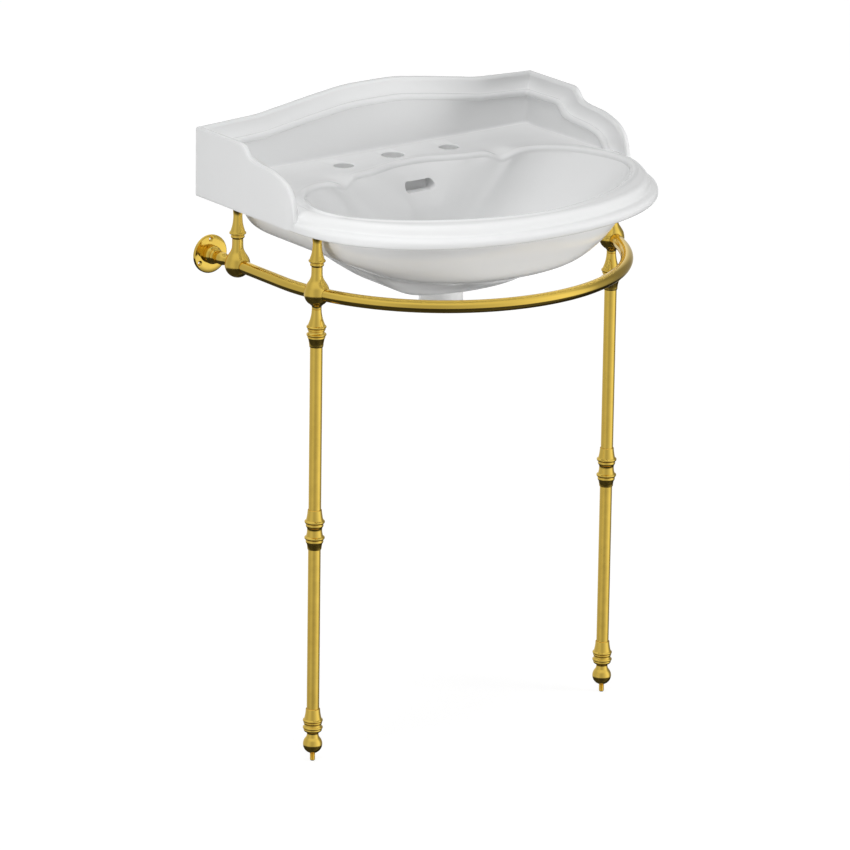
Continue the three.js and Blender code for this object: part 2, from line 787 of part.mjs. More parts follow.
function flange() {
  const rim = flangeRadius - flangeEdge;
  const disc = turned([
    [0, 0], [flangeRadius, 0], [flangeRadius, flangeThickness - flangeEdge], [rim, flangeThickness],
    [0, flangeThickness],
  ], 2 * turnedSides);
  const sink = flangeThickness - (screwHeadRadius - screwHoleRadius);
  const hole = turned([
    [0, -cutOverrun], [screwHoleRadius, -cutOverrun], [screwHoleRadius, sink],
    [screwHeadRadius, flangeThickness], [screwHeadRadius, flangeThickness + cutOverrun],
    [0, flangeThickness + cutOverrun],
  ]);
  const holes = [];
  for (let i = 0; i < screwCount; i += 1) {
    const angle = (i / screwCount) * 2 * Math.PI;
    const x = screwCircleRadius * Math.sin(angle);
    holes.push(hole.clone().translate(x, screwCircleRadius * Math.cos(angle), 0));
  }
  return cutAway(disc, holes).rotateX(Math.PI / 2);
}

// The scene

const basinStand = new THREE.Group();
basinStand.position.y = (basinDepth - wallGap) / 2;

function place(name, geometry, material, x = 0, y = 0, z = 0) {
  const mesh = new THREE.Mesh(geometry, material);
  mesh.name = name;
  mesh.position.set(x, y, z);
  basinStand.add(mesh);
}

function placeFrontPost(side, label) {
  const [x, y] = [side * frontPostHalfWidth, -frontPostDepth];
  const ball = side > 0 ? frontBall() : mirrored(frontBall());
  place(`front_spindle_${label}`, solidTurned(spindleShares, spindleRadius, spindleLength), brass,
    x, y, ballTopHeight + fitGap);
  place(`front_ball_${label}`, ball, brass, x, y, ballHeight);
  place(`collar_upper_${label}`, collar(upperCollarShares, upperCollarRadius, upperCollarLength, true, false),
    brass, x, y, upperCollarFoot);
  place(`tube_upper_${label}`, legTube(middleCollarTop, upperCollarFoot), brass,
    x, y, middleCollarTop - socketDepth + fitGap);
  place(`collar_middle_${label}`, collar(middleCollarShares, middleCollarRadius, middleCollarLength, true, true),
    brass, x, y, middleCollarFoot);
  place(`tube_lower_${label}`, legTube(lowerCollarTop, middleCollarFoot), brass,
    x, y, lowerCollarTop - socketDepth + fitGap);
  place(`collar_lower_${label}`, collar(lowerCollarShares, lowerCollarRadius, lowerCollarLength, false, true),
    brass, x, y, lowerCollarFoot);
  place(`ball_foot_${label}`, ballFoot(), brass, x, y, studExposed);
  place(`levelling_stud_${label}`, levellingStud(), brass, x, y, 0);
}

function placeRearPost(side, label) {
  const [x, y] = [side * railHalfWidth, -rearPostDepth];
  place(`rear_spindle_${label}`, solidTurned(spindleShares, spindleRadius, spindleLength), brass,
    x, y, ballTopHeight + fitGap);
  place(`rear_ball_${label}`, rearBall(), brass, x, y, ballHeight);
  const sleeveLength = rearPostDepth - armBossLength - ballRadius + armSeatDepth - 2 * fitGap;
  const boss = solidTurned(armBossShares, armBossRadius, armBossLength).rotateX(Math.PI / 2);
  const sleeve = solidTurned(armSleeveShares, armSleeveRadius, sleeveLength).rotateX(Math.PI / 2);
  place(`wall_flange_${label}`, flange(), brass, x, wallGap, ballHeight);
  place(`arm_boss_${label}`, boss, brass, x, wallGap - flangeThickness - fitGap, ballHeight);
  place(`arm_sleeve_${label}`, sleeve, brass, x, wallGap - flangeThickness - armBossLength - 2 * fitGap, ballHeight);
}

place('basin', basinGeometry(), ceramic);
place('rail_front', frontRail(), brass);
place('rail_side_right', sideRail(), brass);
place('rail_side_left', mirrored(sideRail()), brass);
for (const [side, label] of [[1, 'right'], [-1, 'left']]) {
  placeFrontPost(side, label);
  placeRearPost(side, label);
}

export default basinStand;
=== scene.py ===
import json
from math import acos, asin, copysign, cos, exp, pi, radians, sin, sqrt

import bmesh
import bpy
from mathutils import Matrix, Vector
from mathutils.bvhtree import BVHTree

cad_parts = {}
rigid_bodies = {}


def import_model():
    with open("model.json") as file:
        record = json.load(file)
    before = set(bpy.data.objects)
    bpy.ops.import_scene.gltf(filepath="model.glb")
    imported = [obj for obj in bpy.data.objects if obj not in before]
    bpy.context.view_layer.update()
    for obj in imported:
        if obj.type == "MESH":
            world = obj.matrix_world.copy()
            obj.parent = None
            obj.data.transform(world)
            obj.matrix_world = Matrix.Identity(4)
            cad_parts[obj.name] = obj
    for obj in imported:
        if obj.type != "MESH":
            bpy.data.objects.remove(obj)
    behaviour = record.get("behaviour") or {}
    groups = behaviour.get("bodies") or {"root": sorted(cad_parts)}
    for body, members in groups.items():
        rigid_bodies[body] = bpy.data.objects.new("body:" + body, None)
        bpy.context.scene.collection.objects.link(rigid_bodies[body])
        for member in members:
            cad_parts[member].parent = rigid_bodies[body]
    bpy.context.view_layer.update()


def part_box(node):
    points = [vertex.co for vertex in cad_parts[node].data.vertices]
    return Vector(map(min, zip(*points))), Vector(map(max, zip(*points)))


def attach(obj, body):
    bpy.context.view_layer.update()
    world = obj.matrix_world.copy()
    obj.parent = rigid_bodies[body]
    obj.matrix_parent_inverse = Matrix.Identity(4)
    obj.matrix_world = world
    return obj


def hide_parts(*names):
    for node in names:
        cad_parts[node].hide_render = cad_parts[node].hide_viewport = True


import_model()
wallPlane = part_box("basin")[1].y * 1000  # back face of the basin, mm
rootBody = "basin_and_stand"

# sizes below are in mm, with y = 0 at the back face of the basin


# mesh helpers


def metres(spot):
    return Vector((spot[0], spot[1] + wallPlane, spot[2])) / 1000


def mix(a, b, way):
    return a + (b - a) * way


def eased(value, low, high):
    way = min(max((value - low) / (high - low), 0), 1)
    return way * way * (3 - 2 * way)


def curveThrough(points, perSpan):
    # centripetal curve; the first and last points only steer it
    spots = [Vector(p) for p in points]
    made = []
    for p0, p1, p2, p3 in zip(spots, spots[1:], spots[2:], spots[3:]):
        t1 = (p1 - p0).length ** 0.5
        t2 = t1 + (p2 - p1).length ** 0.5
        t3 = t2 + (p3 - p2).length ** 0.5
        for step in range(perSpan):
            t = mix(t1, t2, step / perSpan)
            a1 = p0.lerp(p1, t / t1)
            a2 = p1.lerp(p2, (t - t1) / (t2 - t1))
            a3 = p2.lerp(p3, (t - t2) / (t3 - t2))
            b1 = a1.lerp(a2, t / t2)
            b2 = a2.lerp(a3, (t - t1) / (t3 - t1))
            made.append(b1.lerp(b2, (t - t1) / (t2 - t1)))
    made.append(spots[-2])
    return made


def softLine(points, perSpan):
    # the same curve, which also reaches the end points
    first = [2 * a - b for a, b in zip(points[0], points[1])]
    last = [2 * a - b for a, b in zip(points[-1], points[-2])]
    return [tuple(p) for p in curveThrough([first, *points, last], perSpan)]


def evenly(spots, count, weight):
    # count steps along a line, closer together where the weight is high
    lengths = [0]
    for a, b in zip(spots, spots[1:]):
        lengths.append(lengths[-1] + (b - a).length * weight((a + b) / 2))
    made = []
    place = 0
    for step in range(count + 1):
        goal = lengths[-1] * step / count
        while place < len(spots) - 2 and lengths[place + 1] < goal:
            place += 1
        span = lengths[place + 1] - lengths[place]
        made.append(spots[place].lerp(spots[place + 1], (goal - lengths[place]) / span))
    return made


def moveTo(verts, spots):
    for vert, spot in zip(verts, spots):
        vert.co = metres(spot)
    return verts


def startRing(bm, spots):
    made = bmesh.ops.create_circle(bm, cap_ends=False, segments=len(spots), radius=1)
    return moveTo(made["verts"], spots)


def ringEdges(bm, ring):
    return [bm.edges.get(pair) for pair in zip(ring, ring[1:] + ring[:1])]


def growRing(bm, ring, spots):
    made = bmesh.ops.extrude_edge_only(bm, edges=ringEdges(bm, ring))
    fresh = {item for item in made["geom"] if isinstance(item, bmesh.types.BMVert)}
    follow = []
    for vert in ring:
        follow.append(next(o for o in (e.other_vert(vert) for e in vert.link_edges) if o in fresh))
    return moveTo(follow, spots)


def loft(rings, joined):
    # skin over rings; joined closes it into a loop, or else both ends are filled
    bm = bmesh.new()
    ring = startRing(bm, rings[0])
    firstEdges = ringEdges(bm, ring)
    for spots in rings[1:]:
        ring = growRing(bm, ring, spots)
    lastEdges = ringEdges(bm, ring)
    if joined:
        bmesh.ops.bridge_loops(bm, edges=firstEdges + lastEdges)
    else:
        bmesh.ops.edgeloop_fill(bm, edges=firstEdges)
        bmesh.ops.edgeloop_fill(bm, edges=lastEdges)
    bmesh.ops.recalc_face_normals(bm, faces=bm.faces)
    return bm


def spun(outline, steps=56, closed=False):
    # outline of (radius, height), turned round z
    bm = bmesh.new()
    verts = [bm.verts.new((r / 1000, 0, h / 1000)) for r, h in outline]
    pairs = list(zip(verts, verts[1:]))
    if closed:
        pairs.append((verts[-1], verts[0]))
    edges = [bm.edges.new(pair) for pair in pairs]
    bmesh.ops.spin(
        bm, geom=verts + edges, cent=(0, 0, 0), axis=(0, 0, 1), dvec=(0, 0, 0),
        angle=2 * pi, steps=steps, use_merge=True,
    )
    bmesh.ops.remove_doubles(bm, verts=bm.verts, dist=1e-6)
    bmesh.ops.recalc_face_normals(bm, faces=bm.faces)
    return bm


def toMesh(bm, name):
    mesh = bpy.data.meshes.new(name)
    bm.to_mesh(mesh)
    bm.free()
    return mesh


def fromMesh(mesh):
    bm = bmesh.new()
    bm.from_mesh(mesh)
    return bm


def addObject(name, data):
    fresh = bpy.data.objects.new(name, data)
    bpy.context.collection.objects.link(fresh)
    return fresh


def boolean(mesh, cutters, operation):
    # joins the cutters to the mesh or takes them from it
    base = addObject("base", mesh)
    for cutter in cutters:
        tool = addObject("tool", cutter)
        step = base.modifiers.new("step", "BOOLEAN")
        step.operation = operation
        step.solver = "EXACT"
        step.object = tool
        graph = bpy.context.evaluated_depsgraph_get()
        base.data = bpy.data.meshes.new_from_object(base.evaluated_get(graph))
        base.modifiers.clear()
        bpy.data.objects.remove(tool)
    result = base.data
    bpy.data.objects.remove(base)
    return result


def finishPiece(name, mesh, material, body, sharp):
    mesh.name = name + "Mesh"
    mesh.materials.clear()
    mesh.materials.append(material)
    mesh.polygons.foreach_set("use_smooth", [True] * len(mesh.polygons))
    mesh.set_sharp_from_angle(angle=radians(sharp))
    piece = addObject(name + "_fine", mesh)
    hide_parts(name)
    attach(piece, body)


# shader helpers


def nodeMaker(tree):
    def make(kind, x, y, **values):
        node = tree.nodes.new(kind if kind.startswith("Node") else "ShaderNode" + kind)
        node.location = (x, y)
        for name, value in values.items():
            if hasattr(node, name):
                setattr(node, name, value)
            else:
                node.inputs[name].default_value = value
        return node

    return make


def freshTree(owner):
    # the emptied node tree of a material or world, and its node maker
    owner.use_nodes = True
    owner.node_tree.nodes.clear()
    return owner.node_tree, nodeMaker(owner.node_tree)


def wire(tree, *joints):
    # each joint: from node, its output, to node, its input
    for source, output, goal, socket in joints:
        tree.links.new(source.outputs[output], goal.inputs[socket])


def spans(source, goal=(0, 1)):
    # values of a map range node
    return dict(zip(("From Min", "From Max", "To Min", "To Max"), (*source, *goal)))


groupSockets = {
    "INPUT": {
        "Place": "Vector", "Pale": "Color", "Deep": "Color", "Patch Size": "Float", "Smooth": "Float",
        "Dull": "Float", "Ripple Size": "Float", "Ripple": "Float",
    },
    "OUTPUT": {"Color": "Color", "Roughness": "Float", "Height": "Float"},
}


def cloudyFinish():
    # slow colour drift and a fine unevenness, for any polished or glazed surface
    tree = bpy.data.node_groups.new("cloudyFinish", "ShaderNodeTree")
    for way, sockets in groupSockets.items():
        for label, kind in sockets.items():
            tree.interface.new_socket(label, in_out=way, socket_type="NodeSocket" + kind)
    make = nodeMaker(tree)
    ins = make("NodeGroupInput", -900, 0)
    outs = make("NodeGroupOutput", 500, 0)
    patch = make("TexNoise", -600, 200, Detail=3.0, Roughness=0.5)
    smear = make("TexNoise", -600, -80, Detail=5.0, Roughness=0.6)
    ripple = make("TexNoise", -600, -360, Detail=1.0, Roughness=0.4)
    finer = make("Math", -760, -120, operation="MULTIPLY")
    finer.inputs[1].default_value = 5.0
    tint = make("Mix", -200, 200, data_type="RGBA")
    gloss = make("MapRange", -200, -80, **spans((0.35, 0.65)))
    wave = make("Math", -200, -360, operation="MULTIPLY")
    wire(
        tree,
        *((ins, "Place", noise, "Vector") for noise in (patch, smear, ripple)),
        (ins, "Patch Size", patch, "Scale"), (ins, "Patch Size", finer, 0), (finer, 0, smear, "Scale"),
        (ins, "Ripple Size", ripple, "Scale"),
        (patch, "Fac", tint, "Factor"), (ins, "Deep", tint, 6), (ins, "Pale", tint, 7),
        (smear, "Fac", gloss, "Value"), (ins, "Smooth", gloss, "To Min"), (ins, "Dull", gloss, "To Max"),
        (ripple, "Fac", wave, 0), (ins, "Ripple", wave, 1),
        (tint, 2, outs, "Color"), (gloss, "Result", outs, "Roughness"), (wave, 0, outs, "Height"),
    )
    return tree


finishGroup = cloudyFinish()


def finishMaterial(name, look, bumpStrength, plain):
    material = bpy.data.materials.new(name)
    tree, make = freshTree(material)
    place = make("TexCoord", -800, 0)
    group = make("Group", -500, 0, node_tree=finishGroup, **look)
    bump = make("Bump", -200, -200, Strength=bumpStrength, Distance=0.001)
    surface = make("BsdfPrincipled", 0, 0, **plain)
    out = make("OutputMaterial", 300, 0)
    wire(
        tree,
        (place, "Object", group, "Place"), (group, "Color", surface, "Base Color"),
        (group, "Roughness", surface, "Roughness"), (group, "Height", bump, "Height"),
        (bump, "Normal", surface, "Normal"), (surface, "BSDF", out, "Surface"),
    )
    return material


glaze = finishMaterial(
    "whiteGlaze",
    {"Pale": (0.8, 0.805, 0.805, 1), "Deep": (0.78, 0.785, 0.787, 1), "Patch Size": 6.0,
     "Smooth": 0.1, "Dull": 0.18, "Ripple Size": 45.0, "Ripple": 0.25},
    0.04, {"IOR": 1.45, "Coat Weight": 0.1, "Coat Roughness": 0.03},
)
brass = finishMaterial(
    "polishedBrass",
    {"Pale": (0.94, 0.67, 0.135, 1), "Deep": (0.88, 0.6, 0.105, 1), "Patch Size": 14.0,
     "Smooth": 0.07, "Dull": 0.17, "Ripple Size": 120.0, "Ripple": 0.2},
    0.012, {"Metallic": 1.0, "IOR": 1.45},
)
print("materials made")


# basin: one casting

basin = {
    "width": 637, "depth": 498, "underside": 838, "deck": 872,
    "ovalCentre": 235, "ovalPower": 2.2, "ovalRelief": 1,
    "rimFront": [  # inset and height down the rim, from the shoulder to the widest line
        (24, 872), (22.1, 871.8), (20.2, 871.2), (18.4, 870.2), (16.8, 868.8), (15.4, 866.9), (14.3, 864.7),
        (13.5, 862.2), (12.9, 859.9), (12.2, 858), (11.1, 856.7), (9.6, 856), (7.6, 855.6), (5.4, 854.9),
        (3.4, 853.8), (1.8, 852.2), (0.6, 850.2), (0, 848),
    ],
    "rimWing": [  # the same where the wings meet it
        (24, 872), (20.7, 871.8), (17.5, 871.1), (14.4, 870), (11.5, 868.4), (9, 866.6), (6.8, 864.3),
        (5.1, 861.8), (3.9, 859.2), (3.2, 856.8), (2.7, 855), (2.2, 853.9), (1.7, 853.1), (1.2, 852.3),
        (0.75, 851.4), (0.4, 850.4), (0.1, 849.2), (0, 848),
    ],
    "rollRadius": 10, "lowerRoll": (9.6, 4.6), "shoulderInset": 24,
    "frontSteps": 56, "sideSteps": 44, "cornerSteps": 10, "backSteps": 66,
    "fades": {  # parts of the way round, which is 0 at the front centre and 1 at the back centre
        "lipSide": (0.35, 0.41), "lipBack": (0.46, 0.56), "lipFoot": (0.3, 0.4),
        "bowlBack": (0.5, 0.9), "rimStep": (0.33, 0.425), "lowerRoll": (0.1, 0.32),
    },
    "bowlHalfWidth": 278.9, "bowlFront": 458.6, "bowlCentre": 278, "bowlPower": 1.72, "edgeHeight": 866,
    "bowlBack": [  # edge of the bowl behind its widest place, then over the middle
        (278.9, -292), (278.9, -278), (277.4, -260), (271.8, -237), (258, -202), (240, -180), (220, -166),
        (200, -158.2), (182, -157), (170, -157.8), (160, -156.8), (150, -154), (140, -150.5), (130, -147.6),
        (118, -142.6), (104, -139.6), (90, -138.6), (75, -134), (60, -129.3), (30, -119.4), (0, -117),
        (-30, -119.4),
    ],
    "denseBack": (128, 190),  # between these half widths it has twice as many steps
    "bowlWays": [  # parts of the way from the edge to the waste
        0.012, 0.03, 0.052, 0.08, 0.115, 0.15, 0.19, 0.23, 0.28, 0.33, 0.39, 0.45, 0.51, 0.57, 0.63, 0.69,
        0.74, 0.79, 0.83, 0.87, 0.905, 0.935, 0.96, 0.98, 1,
    ],
    "bowlFall": (3, 2.1, 0.4),  # in front, at the sides, behind: the higher, the steeper under the edge
    "bottomWays": (0.72, 1), "plainWays": (0.004, 0.2), "easing": 120, "plainEasing": 150,
    "lipCrest": 8, "lipSteps": 8, "lipPower": 0.8, "lipFoot": 14.5, "footSteps": 6, "frontFoot": 0.5,
    "lipHeight": (873.5, 874.5, 873.8), "lipRise": (0.5, -1.2, 1.3),  # in front, beside the wings, behind
    "deckSteps": ((0.07, 0.6), (0.15, 0.2), (0.26, 0.03), (0.5, 0)),  # way to the shoulder, rise left
    "dip": {
        "place": 147.5, "inner": 13.8, "outer": 20.4, "reach": 22, "depth": 9.2, "edge": -153, "front": -230,
    },
    "wasteDepth": 200, "wasteSeatRadius": 30, "floor": 722,
    "hullSkirt": ((6, 838), (4, 837.8), (2, 836.9), (0.6, 835.4)),  # out from the hull, height
    "hull": [  # height, half width, front depth, rear depth
        (850, 262, 456, 5), (838, 262, 455, 5), (815, 262, 446, 5), (790, 244, 435, 5), (765, 198, 421, 24),
        (745, 156, 373, 50), (727, 133, 329, 73), (712, 111, 299, 92), (702, 84, 261, 105),
        (699, 60, 240, 130),
    ],
    "hullCorner": 60,
    "boss": [  # radius, height; round the outlet boss and up its bore to the waste seat
        (50, 700.4), (41, 699.8), (37, 698.6), (35, 696.6), (34.2, 694), (34, 690), (34, 670),
        (33.6, 668.7), (32.6, 668), (23.6, 668), (22.5, 668.5), (22, 669.6),
        (22, 717.4), (22.5, 718.8), (23.6, 719.3), (28.6, 719.4), (29.4, 719.9), (29.8, 721),
    ],
    "hollowDepths": (14, 104), "hollowHalfWidth": 215, "hollowWall": 14, "hollowCorner": 9, "hollowBelow": 6,
    "hollowRoof": ((0, 855), (0.7, 857.6), (2.4, 859.3), (5, 860)),  # inset, height
    "taps": ((-100, 81, 15), (0, 71, 17), (100, 81, 15)), "holeRounding": 1.6,
    "slotHeight": 838.2, "slotSize": (54.4, 15.4), "slotReach": (-260, -123),
    "slotEdge": ((-2, 1.9), (-0.15, 1.7), (0.2, 0.95), (0.8, 0.3), (1.9, 0), (99, 0)),  # depth, growth
    "duct": {
        "depths": (-129, -118), "corner": 3, "levels": ((706.5, 20), (812, 20), (826, 27.5), (848, 27.5)),
    },
    "outlet": {"depths": (-190, -123), "corner": 2, "levels": ((706.5, 10), (715.5, 10))},
}


def ovalArc(halfWidth, frontDepth, centreDepth, power):
    spots = []
    for step in range(basin["frontSteps"] + 1):
        angle = step / basin["frontSteps"] * pi / 2
        across = halfWidth * sin(angle) ** (2 / power)
        along = (frontDepth - centreDepth) * max(cos(angle), 0) ** (2 / power)
        spots.append(Vector((across, -centreDepth - along)))
    return spots


def plateHalf(halfWidth, frontDepth, rearDepth, cornerRadius):
    # from the front centre over the right side to the back centre
    spots = ovalArc(halfWidth, frontDepth, basin["ovalCentre"], basin["ovalPower"])
    radius = min(cornerRadius, halfWidth * 0.6)
    for step in range(1, basin["sideSteps"] + 1):
        way = step / basin["sideSteps"]
        spots.append(Vector((halfWidth, mix(-basin["ovalCentre"], -rearDepth - radius, way))))
    for step in range(1, basin["cornerSteps"] + 1):
        angle = step / basin["cornerSteps"] * pi / 2
        centre = Vector((halfWidth - radius, -rearDepth - radius))
        spots.append(centre + radius * Vector((cos(angle), sin(angle))))
    for step in range(1, basin["backSteps"] + 1):
        spots.append(Vector(((halfWidth - radius) * (1 - step / basin["backSteps"]), -rearDepth)))
    return spots


def bowlHalf():
    spots = ovalArc(basin["bowlHalfWidth"], basin["bowlFront"], basin["bowlCentre"], basin["bowlPower"])
    steps = basin["sideSteps"] + basin["cornerSteps"] + basin["backSteps"]
    low, high = basin["denseBack"]
    curve = curveThrough(basin["bowlBack"], 24)
    return spots + evenly(curve, steps, lambda spot: 2 if low < spot.x < high else 1)[1:]


def fullRing(half):
    # the left half mirrors the right one
    right = [Vector((0, half[0].y)), *half[1:-1], Vector((0, half[-1].y))]
    return right + [Vector((-p.x, p.y)) for p in reversed(half[1:-1])]


def plateRing(inset):
    halfWidth = basin["width"] / 2 - basin["ovalRelief"] - inset
    return plateHalf(halfWidth, basin["depth"] - inset, inset + basin["ovalRelief"], basin["rollRadius"])


def atHeight(ring, height):
    return [(p.x, p.y, height) for p in ring]


def ringShares(ring):
    # 0 at the front centre, 1 at the back centre
    half = len(ring) // 2
    front = basin["frontSteps"]
    lengths = [0]
    for a, b in zip(ring[front:half], ring[front + 1 : half + 1]):
        lengths.append(lengths[-1] + (b - a).length)
    shares = [4 / 9 * step / front for step in range(front)]
    shares += [4 / 9 + 5 / 9 * length / lengths[-1] for length in lengths]
    return shares + shares[-2:0:-1]


def circleRing(radius, shares):
    centre = Vector((0, -basin["wasteDepth"]))
    ring = []
    for place, share in enumerate(shares):
        side = 1 if place <= len(shares) // 2 else -1
        angle = share * pi
        ring.append(centre + radius * Vector((side * sin(angle), -cos(angle))))
    return ring


def withNeighbours(ring):
    return zip(ring[-1:] + ring[:-1], ring, ring[1:] + ring[:1])


def relaxed(ring, times, pull=0.35):
    for _ in range(times):
        ring = [b.lerp((a + c) / 2, pull) for a, b, c in withNeighbours(ring)]
    return ring


def spreadRing(ring, distance):
    # moves a ring outwards in small steps and eases its corners on the way
    steps = max(1, round(distance))
    step = distance / steps
    for _ in range(steps):
        moved = []
        for a, b, c in withNeighbours(ring):
            along = (c - a).normalized()
            moved.append(b + step * Vector((along.y, -along.x)))
        ring = relaxed(moved, 1, 0.25)
    return ring


def edgeDip(spot):
    # the bowl's back edge dips where the deck drains into it, once on each side
    dip = basin["dip"]
    off = abs(spot.x) - dip["place"]
    across = exp(-((off / (dip["outer"] if off > 0 else dip["inner"])) ** 2))
    behind = max(spot.y - dip["edge"], 0)
    front = 1 if spot.y > dip["front"] else 0
    return dip["depth"] * across * exp(-((behind / dip["reach"]) ** 2)) * front


def fade(key, share):
    return eased(share, *basin["fades"][key])


def bowlFall(share):
    # fast at the front, slower at the sides, a leaning wall at the back
    front, side, back = basin["bowlFall"]
    if share < 0.5:
        return mix(front, side, share * 2)
    return mix(side, back, fade("bowlBack", share))


def bowlRings(edge, shares):
    # the corners of the edge fade into a plain oval a little way down
    seat = circleRing(basin["wasteSeatRadius"], shares)
    depth = basin["edgeHeight"] - basin["floor"]
    plain = relaxed(edge, basin["plainEasing"])
    rings = []
    for way in basin["bowlWays"]:
        bottom, plainShare = eased(way, *basin["bottomWays"]), eased(way, *basin["plainWays"])
        line = relaxed(edge, round(basin["easing"] * way))
        ring = []
        for start, spot, soft, goal, share in zip(edge, line, plain, seat, shares):
            drop = (1 - way) ** bowlFall(share) * (1 - bottom)
            at = spot.lerp(soft, plainShare).lerp(goal, way)
            ring.append((at.x, at.y, basin["floor"] + (depth - edgeDip(start)) * drop))
        rings.append(ring)
    return rings


def lipSize(key, share):
    front, side, back = basin[key]
    return mix(mix(front, side, fade("lipSide", share)), back, fade("lipBack", share))


def lipRings(edge, shares):
    # up to the crest of the lip, down to the deck, and over it to the shoulder
    steps, power = basin["lipSteps"], basin["lipPower"]
    rings = []
    for step in range(steps + 1):
        turn = step / steps * pi / 2
        out = basin["lipCrest"] * (1 - cos(turn) ** power) if step < steps else basin["lipCrest"]
        line = spreadRing(edge, out) if step else edge
        ring = []
        for spot, share in zip(line, shares):
            height = mix(basin["edgeHeight"], lipSize("lipHeight", share), sin(turn) ** power)
            ring.append((spot.x, spot.y, height - edgeDip(spot)))
        rings.append(ring)
    crest, steps = line, basin["footSteps"]
    for step in range(1, steps + 1):
        fall = 0.5 - 0.5 * cos(pi * step / steps)
        outside = spreadRing(edge, mix(basin["lipCrest"], basin["lipFoot"], step / steps))
        line = []
        ring = []
        for top, spot, share in zip(crest, outside, shares):
            at = top.lerp(spot, mix(basin["frontFoot"], 1, fade("lipFoot", share)))
            height = mix(lipSize("lipHeight", share), basin["deck"] + lipSize("lipRise", share), fall)
            line.append(at)
            ring.append((at.x, at.y, height - edgeDip(at)))
        rings.append(ring)
    inner = fullRing(plateRing(basin["shoulderInset"]))
    for way, part in basin["deckSteps"]:
        ring = []
        for spot, far, share in zip(line, inner, shares):
            at = spot.lerp(far, way)
            ring.append((at.x, at.y, basin["deck"] + lipSize("lipRise", share) * part - edgeDip(at)))
        rings.append(ring)
    return rings


def rimRings(shares):
    # the step in the rim runs out towards the wings, and the roll gets a tighter lower edge
    outer = fullRing(plateRing(0))
    inner = fullRing(plateRing(basin["shoulderInset"]))
    rings = []

    def addRing(insetAndHeight):
        ring = []
        for near, far, share in zip(outer, inner, shares):
            inset, height = insetAndHeight(fade("rimStep", share), fade("lowerRoll", share))
            at = near.lerp(far, inset / basin["shoulderInset"])
            ring.append((at.x, at.y, height))
        rings.append(ring)

    for front, wing in zip(basin["rimFront"], basin["rimWing"]):
        addRing(lambda side, _: (mix(front[0], wing[0], side), mix(front[1], wing[1], side)))
    for angle in range(0, 91, 15):
        turn = radians(angle)

        def lowerRoll(_, side):
            radius = mix(*basin["lowerRoll"], side)
            return radius * (1 - cos(turn)), basin["underside"] + radius * (1 - sin(turn))

        addRing(lowerRoll)
    return rings


def hullRings():
    _, halfWidth, front, rear = basin["hull"][1]
    levels = [(height, halfWidth + out, front + out, rear) for out, height in basin["hullSkirt"]]
    rings = []
    for height, halfWidth, front, rear in levels + curveThrough(basin["hull"], 5)[1:]:
        rings.append(atHeight(fullRing(plateHalf(halfWidth, front, rear, basin["hullCorner"])), height))
    return rings


def bossRings(shares):
    return [atHeight(circleRing(radius, shares), height) for radius, height in basin["boss"]]


def basinBody():
    edge = fullRing(bowlHalf())
    shares = ringShares(edge)
    inside = bowlRings(edge, shares)
    rings = inside[::-1] + lipRings(edge, shares) + rimRings(shares) + hullRings() + bossRings(shares)
    return loft(rings, joined=True)


body = basinBody()
wallFinder = BVHTree.FromBMesh(body)
bodyMesh = toMesh(body, "body")
print("basin body:", len(bodyMesh.polygons), "faces")

upstand = {
    "moulding": [  # inward from the outer face, then drop from the top line
        (0, 4.2), (0.25, 2.4), (1.1, 0.9), (2.7, 0.2), (5, 0), (7.2, 0.3), (8.8, 1.1), (9.7, 2.3),
        (10, 3.4), (10.8, 4.4), (11.1, 8), (12.0, 12.6), (13.7, 17.2), (16.2, 21.2), (18.6, 23.6),
        (19.9, 24.3), (20.6, 24.0), (22.4, 24.0), (24.6, 24.7), (26.3, 26.2), (27.1, 28.3), (27.2, 30.4),
        (26.7, 32.3), (25.6, 33.5), (24.5, 34),
    ],
    "height": 34, "level": 947, "foot": basin["underside"] + 0.2,
    "footInward": 33, "footDrop": 1.5, "fillet": 4.5,
    "footEdge": (  # inward, the same where it is rounded off, height over the foot
        (2.2, 7, 0), (0.9, 4.4, 0.6), (0.2, 2.9, 1.8), (0, 1.7, 4.6), (0, 1.5, 8),
    ),
    "footDepths": (238, 258.5),  # a wing's lower edge gets round between these
    "wingSink": 4.5, "sinkHeights": (845, 857),  # a wing's front end sinks in below the upper one
    "wingTop": [  # top line of a wing to its foot; the first and last points only steer it
        (-84, 947), (-96, 947), (-108, 947), (-117, 946.8), (-124, 944.6), (-131, 939), (-137.5, 931.8),
        (-145, 928), (-164, 925), (-181, 923.8), (-197, 921.8), (-211, 918.2), (-223, 914.4), (-235, 908.6),
        (-245.5, 899.6), (-253, 886), (-258, 868), (-260.6, 845), (-262, 820),
    ],
    "wingBead": [  # the bead that runs under it
        (-70, 914.6), (-82, 914.6), (-90, 914.6), (-96, 914.4), (-101.5, 912), (-107, 906.6), (-112, 901.6),
        (-119, 898.2), (-134, 895.4), (-155, 894), (-174, 892.6), (-187, 890.4), (-196, 888.6),
        (-203.5, 885.6), (-209.5, 880.6), (-216.5, 872.4), (-229, 864), (-244, 846), (-250, 830),
    ],
    "wingRear": {"wingTop": ((-46, 947), (-70, 947)), "wingBead": ((-46, 913), (-64, 913.6))},
    "backTop": [  # half width, height; the first and last points only steer it
        (340, 946), (318.5, 947), (290, 948), (262, 949.2), (235, 950.4), (214, 951.4), (198, 953),
        (180, 956), (155, 959.8), (132, 963.4), (110, 966.8), (82, 970.6), (62, 973.3), (46, 974.8),
        (30, 975.4), (0, 975.45), (-30, 975.4),
    ],
    "backInset": 46, "backSteps": 88,
    "cornerRadius": 1.6, "cornerGrowth": 3, "cornerReach": (20, 27), "cornerWidth": 4,
}


